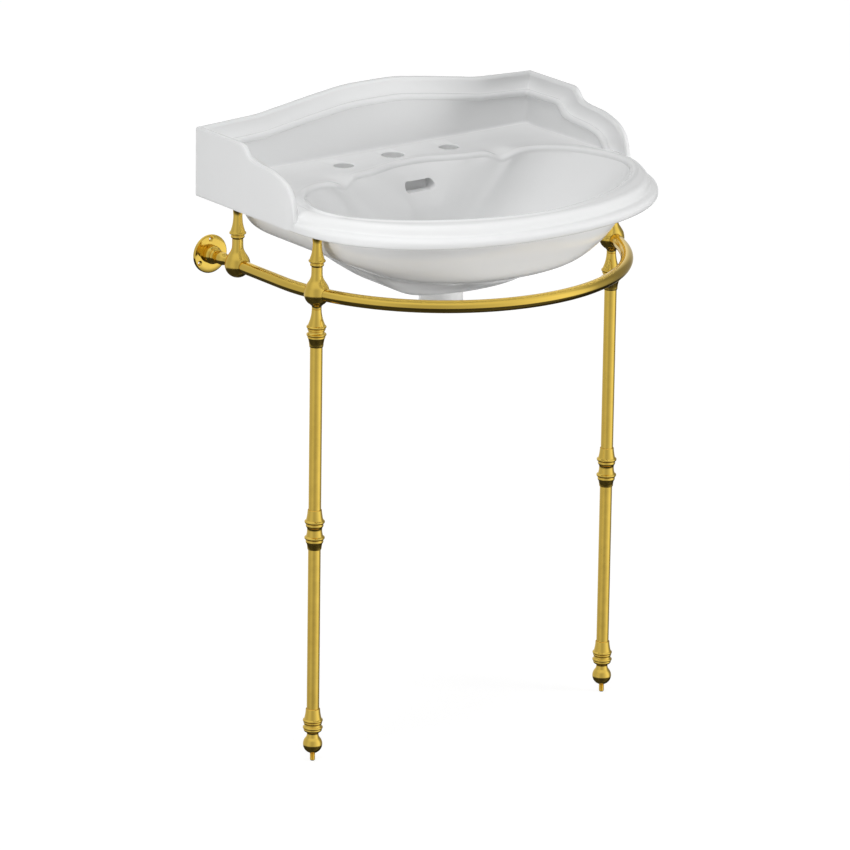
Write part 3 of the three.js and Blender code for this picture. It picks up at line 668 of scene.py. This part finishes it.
def sectionAt(place, topAt, foot=0):
    # place(inward, drop) gives the ground point, topAt(inward, drop) the height
    # foot rounds the lower edge off, where the section runs into the rim
    tall = upstand["height"]
    base = upstand["foot"]
    first = upstand["moulding"][0][1] / tall
    spots = []
    for square, rounded, rise in upstand["footEdge"]:
        x, y = place(mix(square, rounded, foot), first)
        spots.append((x, y, min(base + rise, topAt(0, first) - 0.2)))
    for inward, drop in upstand["moulding"]:
        x, y = place(inward, drop / tall)
        spots.append((x, y, topAt(inward, drop / tall)))
    beadInward = upstand["moulding"][-1][0]
    beadHeight = topAt(beadInward, 1)
    fall = max(beadHeight - base, 0.4)

    def wallSpot(height, out):
        way = min(max((beadHeight - height) / fall, 0), 1)
        inward = mix(beadInward, upstand["footInward"], way) + out
        return (*place(inward, mix(1, upstand["footDrop"], way)), height)

    room = beadHeight - basin["deck"]
    radius = min(max(room * 0.45, 0), upstand["fillet"])
    for step in range(7):
        turn = step / 6 * pi / 2
        height = basin["deck"] - 0.06 + radius * (1 - sin(turn))
        if room < 1:
            height = mix(beadHeight, base, (step + 1) / 9)
        spots.append(wallSpot(height, radius * (1 - cos(turn))))
    spots.append(wallSpot(mix(spots[-1][2], base, 0.3), radius))
    spots.append(wallSpot(base, radius * 0.5))
    return spots


def wingLine(key):
    # straight from its rear end, then through the points
    return [Vector(p) for p in upstand["wingRear"][key]] + curveThrough(upstand[key], 5)


def wingSections(side):
    half = basin["width"] / 2
    made = []
    for top, bead in zip(wingLine("wingTop"), wingLine("wingBead")):
        sink = upstand["wingSink"] * (1 - eased(top.y, *upstand["sinkHeights"]))
        made.append(sectionAt(
            lambda inward, drop: (side * (half - inward - sink), mix(top.x, bead.x, drop)),
            lambda inward, drop: max(mix(top.y, bead.y, drop), upstand["foot"]),
            foot=eased(-top.x, *upstand["footDepths"]),
        ))
    return made


backLine = curveThrough(upstand["backTop"], 4)


def backHeight(x):
    far = min(abs(x), basin["width"] / 2)
    for a, b in zip(backLine, backLine[1:]):
        if a.x >= far >= b.x:
            return mix(a.y, b.y, (a.x - far) / max(a.x - b.x, 1e-6))
    return backLine[-1].y


def cornerSection(side, angle):
    half = basin["width"] / 2
    turn = radians(angle)

    def place(inward, drop):
        growth = upstand["cornerGrowth"] * eased(inward, *upstand["cornerReach"])
        radius = upstand["cornerRadius"] + growth
        x = half - inward - radius * (1 - cos(turn))
        return (side * x, -inward - radius * (1 - sin(turn)))

    level = upstand["level"]
    lift = mix(0, backHeight(half - upstand["cornerWidth"]) - level, angle / 90)
    return sectionAt(place, lambda inward, drop: level + lift - drop * upstand["height"])


def backSection(x):
    return sectionAt(
        lambda inward, drop: (x, -inward),
        lambda inward, drop: backHeight(x) - drop * upstand["height"],
    )


def upstandBody():
    right = wingSections(1)[::-1] + [cornerSection(1, angle) for angle in range(0, 91, 15)]
    left = [cornerSection(-1, angle) for angle in range(90, -1, -15)] + wingSections(-1)
    reach, steps = basin["width"] / 2 - upstand["backInset"], upstand["backSteps"]
    middle = [backSection(mix(reach, -reach, step / steps)) for step in range(steps + 1)]
    return loft(right + middle + left, joined=False)


def roundedBlock(xHalf, yMin, yMax, radius, height):
    ring = []
    corners = ((xHalf, yMin, -90), (xHalf, yMax, 0), (-xHalf, yMax, 90), (-xHalf, yMin, 180))
    for cornerX, cornerY, start in corners:
        x = cornerX - copysign(radius, cornerX)
        y = cornerY - copysign(radius, cornerY - (yMin + yMax) / 2)
        for step in range(7):
            turn = radians(start + 15 * step)
            ring.append((x + radius * cos(turn), y + radius * sin(turn), height))
    return ring


def hollowCutter():
    rear, front = basin["hollowDepths"]
    corner = basin["hollowCorner"]
    levels = [(height, halfWidth) for height, halfWidth, _, _ in basin["hull"][8:0:-1]]
    levels = [(levels[0][0] - basin["hollowBelow"], levels[0][1])] + levels
    rings = []
    for height, halfWidth in levels:
        across = min(halfWidth - basin["hollowWall"], basin["hollowHalfWidth"])
        rings.append(roundedBlock(across, -front, -rear, corner, height))
    for inset, height in basin["hollowRoof"]:
        across = basin["hollowHalfWidth"] - inset
        rings.append(roundedBlock(across, -front + inset, -rear - inset, corner - inset, height))
    return loft(rings, joined=False)


def tapCutter(x, depth, radius):
    deck, rounding = basin["deck"], basin["holeRounding"]
    outline = [(0, deck - 22), (radius, deck - 22)]
    for step in range(6):
        turn = radians(step * 15)
        outline.append((radius + rounding * (1 - cos(turn)), deck - rounding * (1 - sin(turn))))
    clear = radius + rounding * 1.2
    outline += [(clear, deck + 0.2), (clear, deck + 8), (0, deck + 8)]
    bm = spun(outline, 72)
    bmesh.ops.translate(bm, verts=bm.verts, vec=metres((x, -depth, 0)))
    return bm


def slotCutter():
    # follows the leaning wall of the bowl, so that its edge is rounded all the way round
    wide, tall = basin["slotSize"]
    half, end = wide / 2 - tall / 2, tall / 2
    front, rear = basin["slotReach"]
    outline = []
    for x, start in ((half, -90), (-half, 90)):
        for step in range(13):
            turn = radians(start + 180 * step / 12)
            outline.append((x, cos(turn), sin(turn)))
    rings = []
    for deep, grow in basin["slotEdge"]:
        ring = []
        for x, across, up in outline:
            spotX = x + across * (end + grow)
            height = basin["slotHeight"] + up * (end + grow)
            hit = wallFinder.ray_cast(metres((spotX, front, height)), Vector((0, 1, 0)))[0]
            wall = hit.y * 1000 - wallPlane
            ring.append((spotX, min(wall + deep, rear), height))
        rings.append(ring)
    return loft(rings, joined=False)


def blockCutter(shape):
    # the duct, wider at its top behind the slot, or the short way from it into the waste bore
    front, rear = shape["depths"]
    corner = shape["corner"]
    rings = [roundedBlock(wide, front, rear, corner, height) for height, wide in shape["levels"]]
    return loft(rings, joined=False)


whole = boolean(bodyMesh, [toMesh(upstandBody(), "upstand")], "UNION")
print("upstand joined:", len(whole.polygons), "faces")
cutters = [hollowCutter(), blockCutter(basin["duct"]), blockCutter(basin["outlet"]), slotCutter()]
cutters += [tapCutter(*tap) for tap in basin["taps"]]
whole = boolean(whole, [toMesh(cutter, "cutter") for cutter in cutters], "DIFFERENCE")
finishPiece("basin", whole, glaze, rootBody, 30)
print("basin:", len(whole.polygons), "faces")


# stand: rail and ball joints

stand = {
    "ballHeight": 742, "ballRadius": 19.7, "railRadius": 9.75, "railWall": 1.5, "railHalfWidth": 289,
    "railBend": 190, "railSeat": 12, "frontPost": 264, "rearPost": 71, "gap": 0.3,
    "railSides": 40, "railBevel": 0.5, "tubeRadius": 9.6, "tubeWall": 1.5, "socket": 8,
    "pear": [  # radius, height over the middle of the ball
        (19.05, 5), (18.6, 7.4), (17.2, 11), (14.2, 16), (11, 21), (9.1, 26), (8.6, 31), (8.5, 36),
        (8.5, 41.5),
    ],
    "legNeck": [(0, -24), (7, -24), (7.5, -23.5), (7.5, -20.6), (7.7, -19.6), (8.3, -18.7), (9.1, -18.2)],
    "neckRadius": 9.9,  # where the ball runs into it
    "armPlug": [(0, -5.3), (6.3, -5.3), (6.3, 6), (0, 6)],
}
sides = ((1, "right"), (-1, "left"))
beyondBend = stand["frontPost"] - stand["railBend"]
postHalfWidth = sqrt(stand["railHalfWidth"] ** 2 - beyondBend ** 2)
frontPlace = asin(beyondBend / stand["railHalfWidth"]) * stand["railHalfWidth"]
rearPlace = stand["rearPost"] - stand["railBend"]
bendLength = pi * stand["railHalfWidth"]


def railRing(length, radius):
    # length along the rail from the start of the bend on the right
    turn = max(length, 0) / stand["railHalfWidth"]
    out = Vector((cos(turn), -sin(turn), 0))
    centre = Vector((0, -stand["railBend"] - min(length, 0), stand["ballHeight"]))
    centre += out * stand["railHalfWidth"]
    ring = []
    for step in range(stand["railSides"]):
        angle = step / stand["railSides"] * 2 * pi
        ring.append(centre + radius * (cos(angle) * out + sin(angle) * Vector((0, 0, 1))))
    return ring


def railTube(start, end, steps):
    radius, bevel = stand["railRadius"], stand["railBevel"]
    bore = radius - stand["railWall"]
    places = [mix(start, end, step / steps) for step in range(steps + 1)]
    rings = [railRing(start, radius - bevel), railRing(start + bevel, radius)]
    rings += [railRing(place, radius) for place in places[1:-1]]
    rings += [railRing(end - bevel, radius), railRing(end, radius - bevel)]
    rings += [railRing(place, bore) for place in reversed(places)]
    return loft(rings, joined=True)


def railPlug(post, way):
    near = post + way * (stand["railSeat"] - stand["gap"])
    far = post + way * (stand["ballRadius"] + 5)
    ends = sorted((near, far))
    rings = [railRing(mix(*ends, step / 4), stand["railRadius"] + stand["gap"]) for step in range(5)]
    return loft(rings, joined=False)


def ballOutline(withLeg):
    radius, pear = stand["ballRadius"], stand["pear"]
    outline = list(stand["legNeck"]) if withLeg else []
    start = -acos(stand["neckRadius"] / radius) if withLeg else -pi / 2
    end = asin(pear[0][1] / radius)
    for angle in (mix(start, end, step / 20) for step in range(21)):
        outline.append((max(radius * cos(angle), 0), radius * sin(angle)))
    return outline + softLine(pear, 3)[1:] + [(0, pear[-1][1])]


def mirrorMesh(bm):
    bmesh.ops.scale(bm, vec=(-1, 1, 1), verts=bm.verts)
    bmesh.ops.reverse_faces(bm, faces=bm.faces)
    return bm


def placed(bm, x, y, z, toWall=False):
    # moves a turned piece to its place; toWall lays it along the arm
    if toWall:
        turn = Matrix.Rotation(pi / 2, 3, "X")
        bmesh.ops.rotate(bm, cent=(0, 0, 0), matrix=turn, verts=bm.verts)
    bmesh.ops.translate(bm, verts=bm.verts, vec=metres((x, y, z)))
    return bm


def brassPiece(name, bm, body=rootBody):
    finishPiece(name, toMesh(bm, name), brass, body, 35)


def turnedPiece(name, outline, spot, steps=56, toWall=False, body=rootBody):
    brassPiece(name, placed(spun(outline, steps), *spot, toWall), body)


seat = stand["railSeat"]
brassPiece("rail_front", railTube(frontPlace + seat, bendLength - frontPlace - seat, 120))
for side, label in sides:
    tube = railTube(rearPlace + seat, frontPlace - seat, 36)
    brassPiece(f"rail_side_{label}", tube if side > 0 else mirrorMesh(tube))

for side, label in sides:
    for name, x, y, plugs in (
        ("front_ball", postHalfWidth, -stand["frontPost"], [(frontPlace, 1), (frontPlace, -1)]),
        ("rear_ball", stand["railHalfWidth"], -stand["rearPost"], [(rearPlace, 1)]),
    ):
        ball = placed(spun(ballOutline(name == "front_ball"), 64), x, y, stand["ballHeight"])
        tools = [toMesh(railPlug(*plug), "plug") for plug in plugs]
        if name == "rear_ball":
            arm = spun(stand["armPlug"], 40)
            placed(arm, x, y + stand["ballRadius"], stand["ballHeight"], toWall=True)
            tools.append(toMesh(arm, "arm"))
        ball = fromMesh(boolean(toMesh(ball, "ball"), tools, "DIFFERENCE"))
        brassPiece(f"{name}_{label}", ball if side > 0 else mirrorMesh(ball))
print("rail and ball joints made")


# stand: turned pieces of the legs

legs = {  # radius, height over the piece's own foot
    "spindle": [
        (8.2, 0), (8.9, 0.4), (10.2, 1.3), (10.7, 2.7), (10.4, 4.1), (9.6, 5), (9.5, 6.1),
        (11.6, 6.7), (12.7, 7.5), (13, 8.6), (12.7, 9.6), (11.7, 10.3), (11.3, 11),
        *softLine([(11.3, 11), (10.6, 13.2), (9.4, 17), (8.1, 22.5), (7.3, 29), (7, 35), (7.3, 40.5),
                   (8, 45.6), (9.1, 50.6)], 4)[1:],
        (9.5, 52), (9.5, 53.4), (9.1, 53.9),
    ],
    "upper": [
        *softLine([(10.7, 0.6), (11.1, 5), (11.8, 9.5), (12.7, 13.4)], 3),
        (13.4, 14.1), (13.6, 15.4), (13.2, 16.6), (12.9, 17), (14.2, 17.5), (15, 18.3), (15.2, 19.4),
        (14.9, 20.5), (13.6, 21.2), (12.3, 22.6), (12.2, 25.2), (13.1, 25.8), (13.7, 26.8), (13.5, 28.2),
        (12.9, 28.9), (14.3, 29.4), (15, 30.3), (15.2, 31.4), (14.9, 32.4), (14, 33.2), (13.1, 33.8),
        *softLine([(13.1, 33.8), (11.9, 37), (10.3, 41.4), (8.9, 46.6), (7.9, 52.4), (7.5, 57.2)], 3)[1:],
        (7.4, 58.6), (7, 59),
    ],
    "middle": [
        *softLine([(10.8, 0.6), (11.1, 4), (11.6, 7.2), (12.1, 9.6)], 3),
        (12.9, 10.3), (13.5, 11.6), (13.6, 13.2), (13.2, 14.6), (12.9, 15.4), (14.2, 16.1), (15.3, 17.2),
        (15.6, 18.6), (15.3, 19.7), (14.2, 20.6), (13, 21.4),
        *softLine([(13, 21.4), (12.2, 24.4), (11.6, 28.6), (11.6, 32.4), (12, 35)], 3)[1:],
        (12.8, 35.7), (13.5, 37), (13.6, 38.6), (13.2, 40), (12.9, 40.8), (14.2, 41.5), (15.3, 42.6),
        (15.6, 44), (15.3, 45.1), (14.2, 46), (13.1, 46.8),
        *softLine([(13.1, 46.8), (12.3, 50.4), (11.5, 55.4), (11, 59.6), (10.8, 62.4)], 3)[1:],
    ],
    "lower": [
        (9, 0), (9.2, 1.4), (10.4, 2.2), (12, 2.8), (13.3, 3.8), (14, 5.2), (14, 6.6), (13.5, 7.6),
        (14.6, 8), (15.2, 8.8), (15.4, 9.8), (15.1, 10.8), (14.2, 11.6), (13.4, 12.2), (13.2, 13.6),
        (13.3, 15.4), (14, 16.2), (14.3, 17.4), (14.1, 18.4), (13.6, 19), (14.7, 19.5), (15.3, 20.4),
        (15.4, 21.3), (15.1, 22.3), (14.2, 23), (13.4, 23.6),
        *softLine([(13.4, 23.6), (12.7, 26.4), (11.8, 31), (11.2, 36), (11, 39.4)], 3)[1:],
    ],
    "foot": (14.9, 31.9, 4.3, 26.3),  # radius of the ball, height, radius and top of the bore
    "footNeck": [(11.2, 24.7), (10, 26.5), (9.3, 28.4), (9, 30.4), (9, 31.9)], "neckRadius": 9.2,
    "stud": (4, 30, 1.25),  # radius, length, pitch
    "levels": {"spindle": 783.8, "upper": 658.7, "middle": 339.5, "lower": 44.2, "foot": 12},
    "tops": {"upper": 717.7, "middle": 402.5, "lower": 84.2},
}


def solidOutline(outline):
    return [(0, outline[0][1]), *outline, (0, outline[-1][1])]


def collarOutline(outline, atFoot, atTop):
    # a socket for the leg tube at the foot, the top or both
    bore, deep = stand["tubeRadius"] + stand["gap"], stand["socket"]
    height = outline[-1][1]
    low = [(0, deep), (bore, deep), (bore, 0.5), (bore + 0.4, 0)] if atFoot else [(0, 0)]
    high = [(0, height)]
    if atTop:
        height += 0.6
        high = [(bore + 0.4, height), (bore, height - 0.5), (bore, height - deep), (0, height - deep)]
    return [*low, *outline, *high]


def tubeOutline(length):
    out, bore = stand["tubeRadius"], stand["tubeRadius"] - stand["tubeWall"]
    return [
        (bore, 0), (out - 0.4, 0), (out, 0.4), (out, length / 2), (out, length - 0.4),
        (out - 0.4, length), (bore, length), (bore, length / 2),
    ]


def footOutline():
    radius, height, bore, boreTop = legs["foot"]
    boreFoot = radius - radius * cos(asin(bore / radius)) + 0.5
    outline = [(0, boreTop), (bore, boreTop), (bore, boreFoot)]
    start, end = -acos((bore + 0.5) / radius), asin(legs["neckRadius"] / radius)
    for step in range(19):
        angle = mix(start, end, step / 18)
        outline.append((radius * cos(angle), radius + radius * sin(angle)))
    return outline + softLine(legs["footNeck"], 3)[1:] + [(0, height)]


def studOutline():
    radius, length, pitch = legs["stud"]
    outline = [(0, 0), (radius - 1, 0), (radius - 0.5, 0.5)]
    for turn in range(int((length - 2) / pitch)):
        foot = 1 + turn * pitch
        outline += [(radius - 0.45, foot), (radius, foot + pitch * 0.4), (radius, foot + pitch * 0.6)]
    return outline + [(radius - 0.5, length - 0.8), (radius - 1, length), (0, length)]


levels, tops = legs["levels"], legs["tops"]


def collar(key, atFoot, atTop):
    return spun(collarOutline(legs[key], atFoot, atTop)), levels[key]


def legTube(below, above):
    # in the sockets of the collars below and above, a gap short of their seats
    reach = stand["socket"] - stand["gap"]
    length = levels[above] - tops[below] + 2 * reach
    return spun(tubeOutline(length), 48, closed=True), tops[below] - reach


for side, label in sides:
    x, y = side * postHalfWidth, -stand["frontPost"]
    for name, bm, height in (
        ("front_spindle", spun(solidOutline(legs["spindle"])), levels["spindle"]),
        ("collar_upper", *collar("upper", True, False)),
        ("tube_upper", *legTube("middle", "upper")),
        ("collar_middle", *collar("middle", True, True)),
        ("tube_lower", *legTube("lower", "middle")),
        ("collar_lower", *collar("lower", False, True)),
        ("ball_foot", spun(footOutline()), levels["foot"]),
    ):
        brassPiece(f"{name}_{label}", placed(bm, x, y, height))
    turnedPiece(f"levelling_stud_{label}", studOutline(), (x, y, 0), 32, body=f"{label}_stud")
print("legs made")


# stand: wall arms

arms = {
    "flange": [(30, 0), (30, 2.8), (29.75, 3.4), (29.2, 3.85), (28.5, 4), (20, 4)],
    "boss": [
        (13.5, 0), (14.2, 0.4), (14.5, 1.3), (14.4, 6), (14, 8), (13, 9.6), (11.8, 10.4), (11.1, 11),
        (11.1, 12.4), (11.6, 13), (11.7, 14), (11.4, 15), (10.4, 16.2), (9, 17),
    ],
    "sleeve": [
        (8.6, 0), (9.5, 0.5), (9.8, 1.6),
        *softLine([(9.8, 14), (9.6, 16.6), (8.9, 19), (7.6, 21.6), (6.5, 24), (6.05, 27)], 3),
        (6, 30), (6, 38.4), (5.7, 38.7),
    ],
    "holes": {"count": 3, "circle": 23.5, "bore": 1.8, "head": 4.1},
    "wallGap": 4,
}


def holeCutter():
    # countersunk holes round the flange
    holes, tall = arms["holes"], arms["flange"][-1][1]
    bore, head = holes["bore"], holes["head"]
    outline = [
        (0, -5), (bore, -5), (bore, tall - 2.2), (head - 0.25, tall - 0.3),
        (head + 0.3, tall + 0.2), (head + 0.3, tall + 5), (0, tall + 5),
    ]
    bm = bmesh.new()
    for step in range(holes["count"]):
        one = spun(outline, 32)
        angle = step / holes["count"] * 2 * pi
        spot = Vector((sin(angle), cos(angle), 0)) * holes["circle"] / 1000
        bmesh.ops.translate(one, verts=one.verts, vec=spot)
        holder = toMesh(one, "hole")
        bm.from_mesh(holder)
        bpy.data.meshes.remove(holder)
    return bm


for side, label in sides:
    x, y, z = side * stand["railHalfWidth"], -stand["rearPost"], stand["ballHeight"]
    disc = toMesh(spun(solidOutline(arms["flange"]), 96), "disc")
    disc = fromMesh(boolean(disc, [toMesh(holeCutter(), "holes")], "DIFFERENCE"))
    brassPiece(f"wall_flange_{label}", placed(disc, x, arms["wallGap"], z, toWall=True))
    face = arms["wallGap"] - arms["flange"][-1][1] - stand["gap"]
    for name in ("boss", "sleeve"):
        turnedPiece(f"arm_{name}_{label}", solidOutline(arms[name]), (x, face, z), toWall=True)
        face -= arms[name][-1][1] + stand["gap"]
    turnedPiece(f"rear_spindle_{label}", solidOutline(legs["spindle"]), (x, y, levels["spindle"]))
print("wall arms made")


# studio

studio = {
    "azimuth": 36.67611560545662, "elevation": 17.28157742389545, "roll": 0.8309190021636645,
    "distance": 10150.588219274123, "target": (-26.67014192044833, -200, 475.30848845605794),
    "focal": 0.68 * 0.9581697848204205, "imageSide": 850, "sensor": 36,
    "floor": (0.8, 0.8, 0.8, 1), "floorShade": (0.2, 0.2, 0.2, 1), "floorSize": 30,
    "floorReach": (1.1, 3), "floorGlow": (0.89, 1.0),  # the glow rises from one distance to the other
    "worldLevel": 0.02,
    "roomTones": [  # degrees round from the camera's side, tone of the room that polished metal mirrors
        (-180, 0.85), (-140, 0.6), (-99, 0.5), (-75, 0.52), (-53, 0.62), (-34, 0.6), (-15, 0.47),
        (3, 0.46), (21, 0.55), (40, 0.68), (60, 0.88), (80, 1.0), (96, 0.85), (108, 0.4), (130, 0.22),
        (152, 0.25), (168, 0.55), (180, 0.85),
    ],
    "roomTop": (0.45, 0.85, 0.75), "roomFoot": (-0.46, -0.3, 0.08),  # from height, to height, tone there
    "lampAim": (0, -0.05, 0.88),
    "lamps": [  # name, place, size, power
        ("overhead", (0, -0.2, 3.5), 2.0, 45), ("leftLow", (-2.2, -0.4, 0.6), 0.8, 17.5),
        ("rightLow", (1.8, -1.6, 0.66), 0.8, 37), ("nearFront", (-0.5, -0.8, 1.3), 0.4, 3.8),
        ("leftBack", (-1.4, 0.5, 1.4), 0.6, 3.9), ("behind", (0, 2.2, 0.7), 1.2, 22),
    ],
}


def addCamera():
    azimuth, elevation, roll = (radians(studio[key]) for key in ("azimuth", "elevation", "roll"))
    level = cos(elevation)
    back = Vector((-sin(azimuth) * level, -cos(azimuth) * level, sin(elevation)))
    right = (-back).cross(Vector((0, 0, 1))).normalized()
    up = right.cross(-back)
    turned = right * cos(roll) + up * sin(roll)
    upright = up * cos(roll) - right * sin(roll)
    data = bpy.data.cameras.new("camera")
    data.sensor_width = studio["sensor"]
    data.lens = studio["distance"] * studio["focal"] * studio["sensor"] / studio["imageSide"]
    data.clip_start, data.clip_end = 0.1, 100
    camera = addObject("camera", data)
    matrix = Matrix((turned, upright, back)).transposed().to_4x4()
    matrix.translation = metres(studio["target"]) + back * studio["distance"] / 1000
    camera.matrix_world = matrix
    bpy.context.scene.camera = camera


def eitherPath(tree, make, *kinds):
    # node and output that give 1 for the rays of any of these kinds
    path = make("LightPath", -900, 300)
    seen = (path, kinds[0])
    for place, kind in enumerate(kinds[1:]):
        either = make("Math", -700 + 200 * place, 300, operation="MAXIMUM")
        wire(tree, (*seen, either, 0), (path, kind, either, 1))
        seen = (either, 0)
    return seen


def roomLook(tree, make):
    # what polished metal mirrors: bright walls, a greyer side round the camera, a dark floor far below
    place = make("TexCoord", -1700, -300)
    turned = make("VectorRotate", -1500, -300, rotation_type="Z_AXIS")
    turned.inputs["Angle"].default_value = radians(90 + studio["azimuth"])
    parts = make("SeparateXYZ", -1300, -300)
    around = make("Math", -1100, -200, operation="ARCTAN2")
    share = make("MapRange", -900, -200, **spans((-pi, pi)))
    walls = make("ValToRGB", -700, -200)
    ramp = walls.color_ramp.elements
    while len(ramp) > 1:
        ramp.remove(ramp[-1])
    for number, (degrees, tone) in enumerate(studio["roomTones"]):
        stop = ramp[0] if number == 0 else ramp.new(degrees / 360 + 0.5)
        stop.position = degrees / 360 + 0.5
        stop.color = (tone, tone, tone, 1)
    *top, topTone = studio["roomTop"]
    *foot, footTone = studio["roomFoot"]
    smooth = {"interpolation_type": "SMOOTHSTEP"}
    over = make("MapRange", -700, -460, **smooth, **spans(top))
    under = make("MapRange", -700, -700, **smooth, **spans(foot, (footTone, 1)))
    level = make("Mix", -400, -300, data_type="FLOAT")
    level.inputs[3].default_value = topTone
    whole = make("Math", -240, -400, operation="MULTIPLY")
    wire(
        tree,
        (place, "Generated", turned, "Vector"), (turned, "Vector", parts, "Vector"),
        (parts, "Y", around, 0), (parts, "X", around, 1), (around, 0, share, "Value"),
        (share, "Result", walls, "Fac"), (parts, "Z", over, "Value"), (parts, "Z", under, "Value"),
        (over, "Result", level, 0), (walls, "Color", level, 2),
        (level, 0, whole, 0), (under, "Result", whole, 1),
    )
    return whole, 0


def addWorld():
    world = bpy.data.worlds.new("studio")
    bpy.context.scene.world = world
    world.cycles.sampling_method = "NONE"
    tree, make = freshTree(world)
    soft = make("Background", -200, 100, Color=(1, 1, 1, 1), Strength=studio["worldLevel"])
    white = make("Background", -200, -60, Color=(1, 1, 1, 1), Strength=1.0)
    room = make("Background", -20, -240, Color=(1, 1, 1, 1))
    plain = make("MixShader", 0, 60)
    mixer = make("MixShader", 200, 0)
    out = make("OutputWorld", 400, 0)
    wire(
        tree,
        (*eitherPath(tree, make, "Is Camera Ray", "Is Transmission Ray"), plain, "Fac"),
        (soft, 0, plain, 1), (white, 0, plain, 2), (*roomLook(tree, make), room, "Strength"),
        (*eitherPath(tree, make, "Is Glossy Ray"), mixer, "Fac"),
        (plain, 0, mixer, 1), (room, 0, mixer, 2), (mixer, 0, out, "Surface"),
    )


def addFloor():
    # pale to light, near white to the camera, with the shadow left in
    bm = bmesh.new()
    bmesh.ops.create_grid(bm, x_segments=1, y_segments=1, size=studio["floorSize"])
    mesh = toMesh(bm, "floor")
    material = bpy.data.materials.new("paleFloor")
    tree, make = freshTree(material)
    pale = make("BsdfDiffuse", -300, 100, Color=studio["floor"])
    faint = make("BsdfDiffuse", -300, -60, Color=studio["floorShade"])
    glow = make("Emission", -300, -220, Color=(1, 1, 1, 1))
    place = make("TexCoord", -900, -220)
    away = make("VectorMath", -700, -220, operation="LENGTH")
    level = make(
        "MapRange", -500, -220, interpolation_type="SMOOTHSTEP",
        **spans(studio["floorReach"], studio["floorGlow"]),
    )
    both = make("AddShader", -80, -140)
    mixer = make("MixShader", 150, 0)
    out = make("OutputMaterial", 400, 0)
    wire(
        tree,
        (place, "Object", away, 0), (away, "Value", level, "Value"), (level, "Result", glow, "Strength"),
        (faint, 0, both, 0), (glow, 0, both, 1),
        (*eitherPath(tree, make, "Is Camera Ray", "Is Glossy Ray", "Is Transmission Ray"), mixer, "Fac"),
        (pale, 0, mixer, 1), (both, 0, mixer, 2), (mixer, 0, out, "Surface"),
    )
    material.cycles.emission_sampling = "NONE"
    mesh.materials.append(material)
    floor = addObject("floor", mesh)
    floor.visible_glossy = False  # the room's own floor tone is mirrored


def addLamps():
    aim = Vector(studio["lampAim"])
    for name, place, size, power in studio["lamps"]:
        data = bpy.data.lights.new(name, "AREA")
        data.shape = "DISK"
        data.size = size
        data.energy = power
        lamp = addObject(name, data)
        lamp.location = place
        lamp.rotation_euler = (aim - Vector(place)).to_track_quat("-Z", "Y").to_euler()
        lamp.visible_glossy = False  # soft light without hard spots in the glaze


addCamera()
addWorld()
addFloor()
addLamps()
bpy.context.scene.view_settings.view_transform = "Standard"
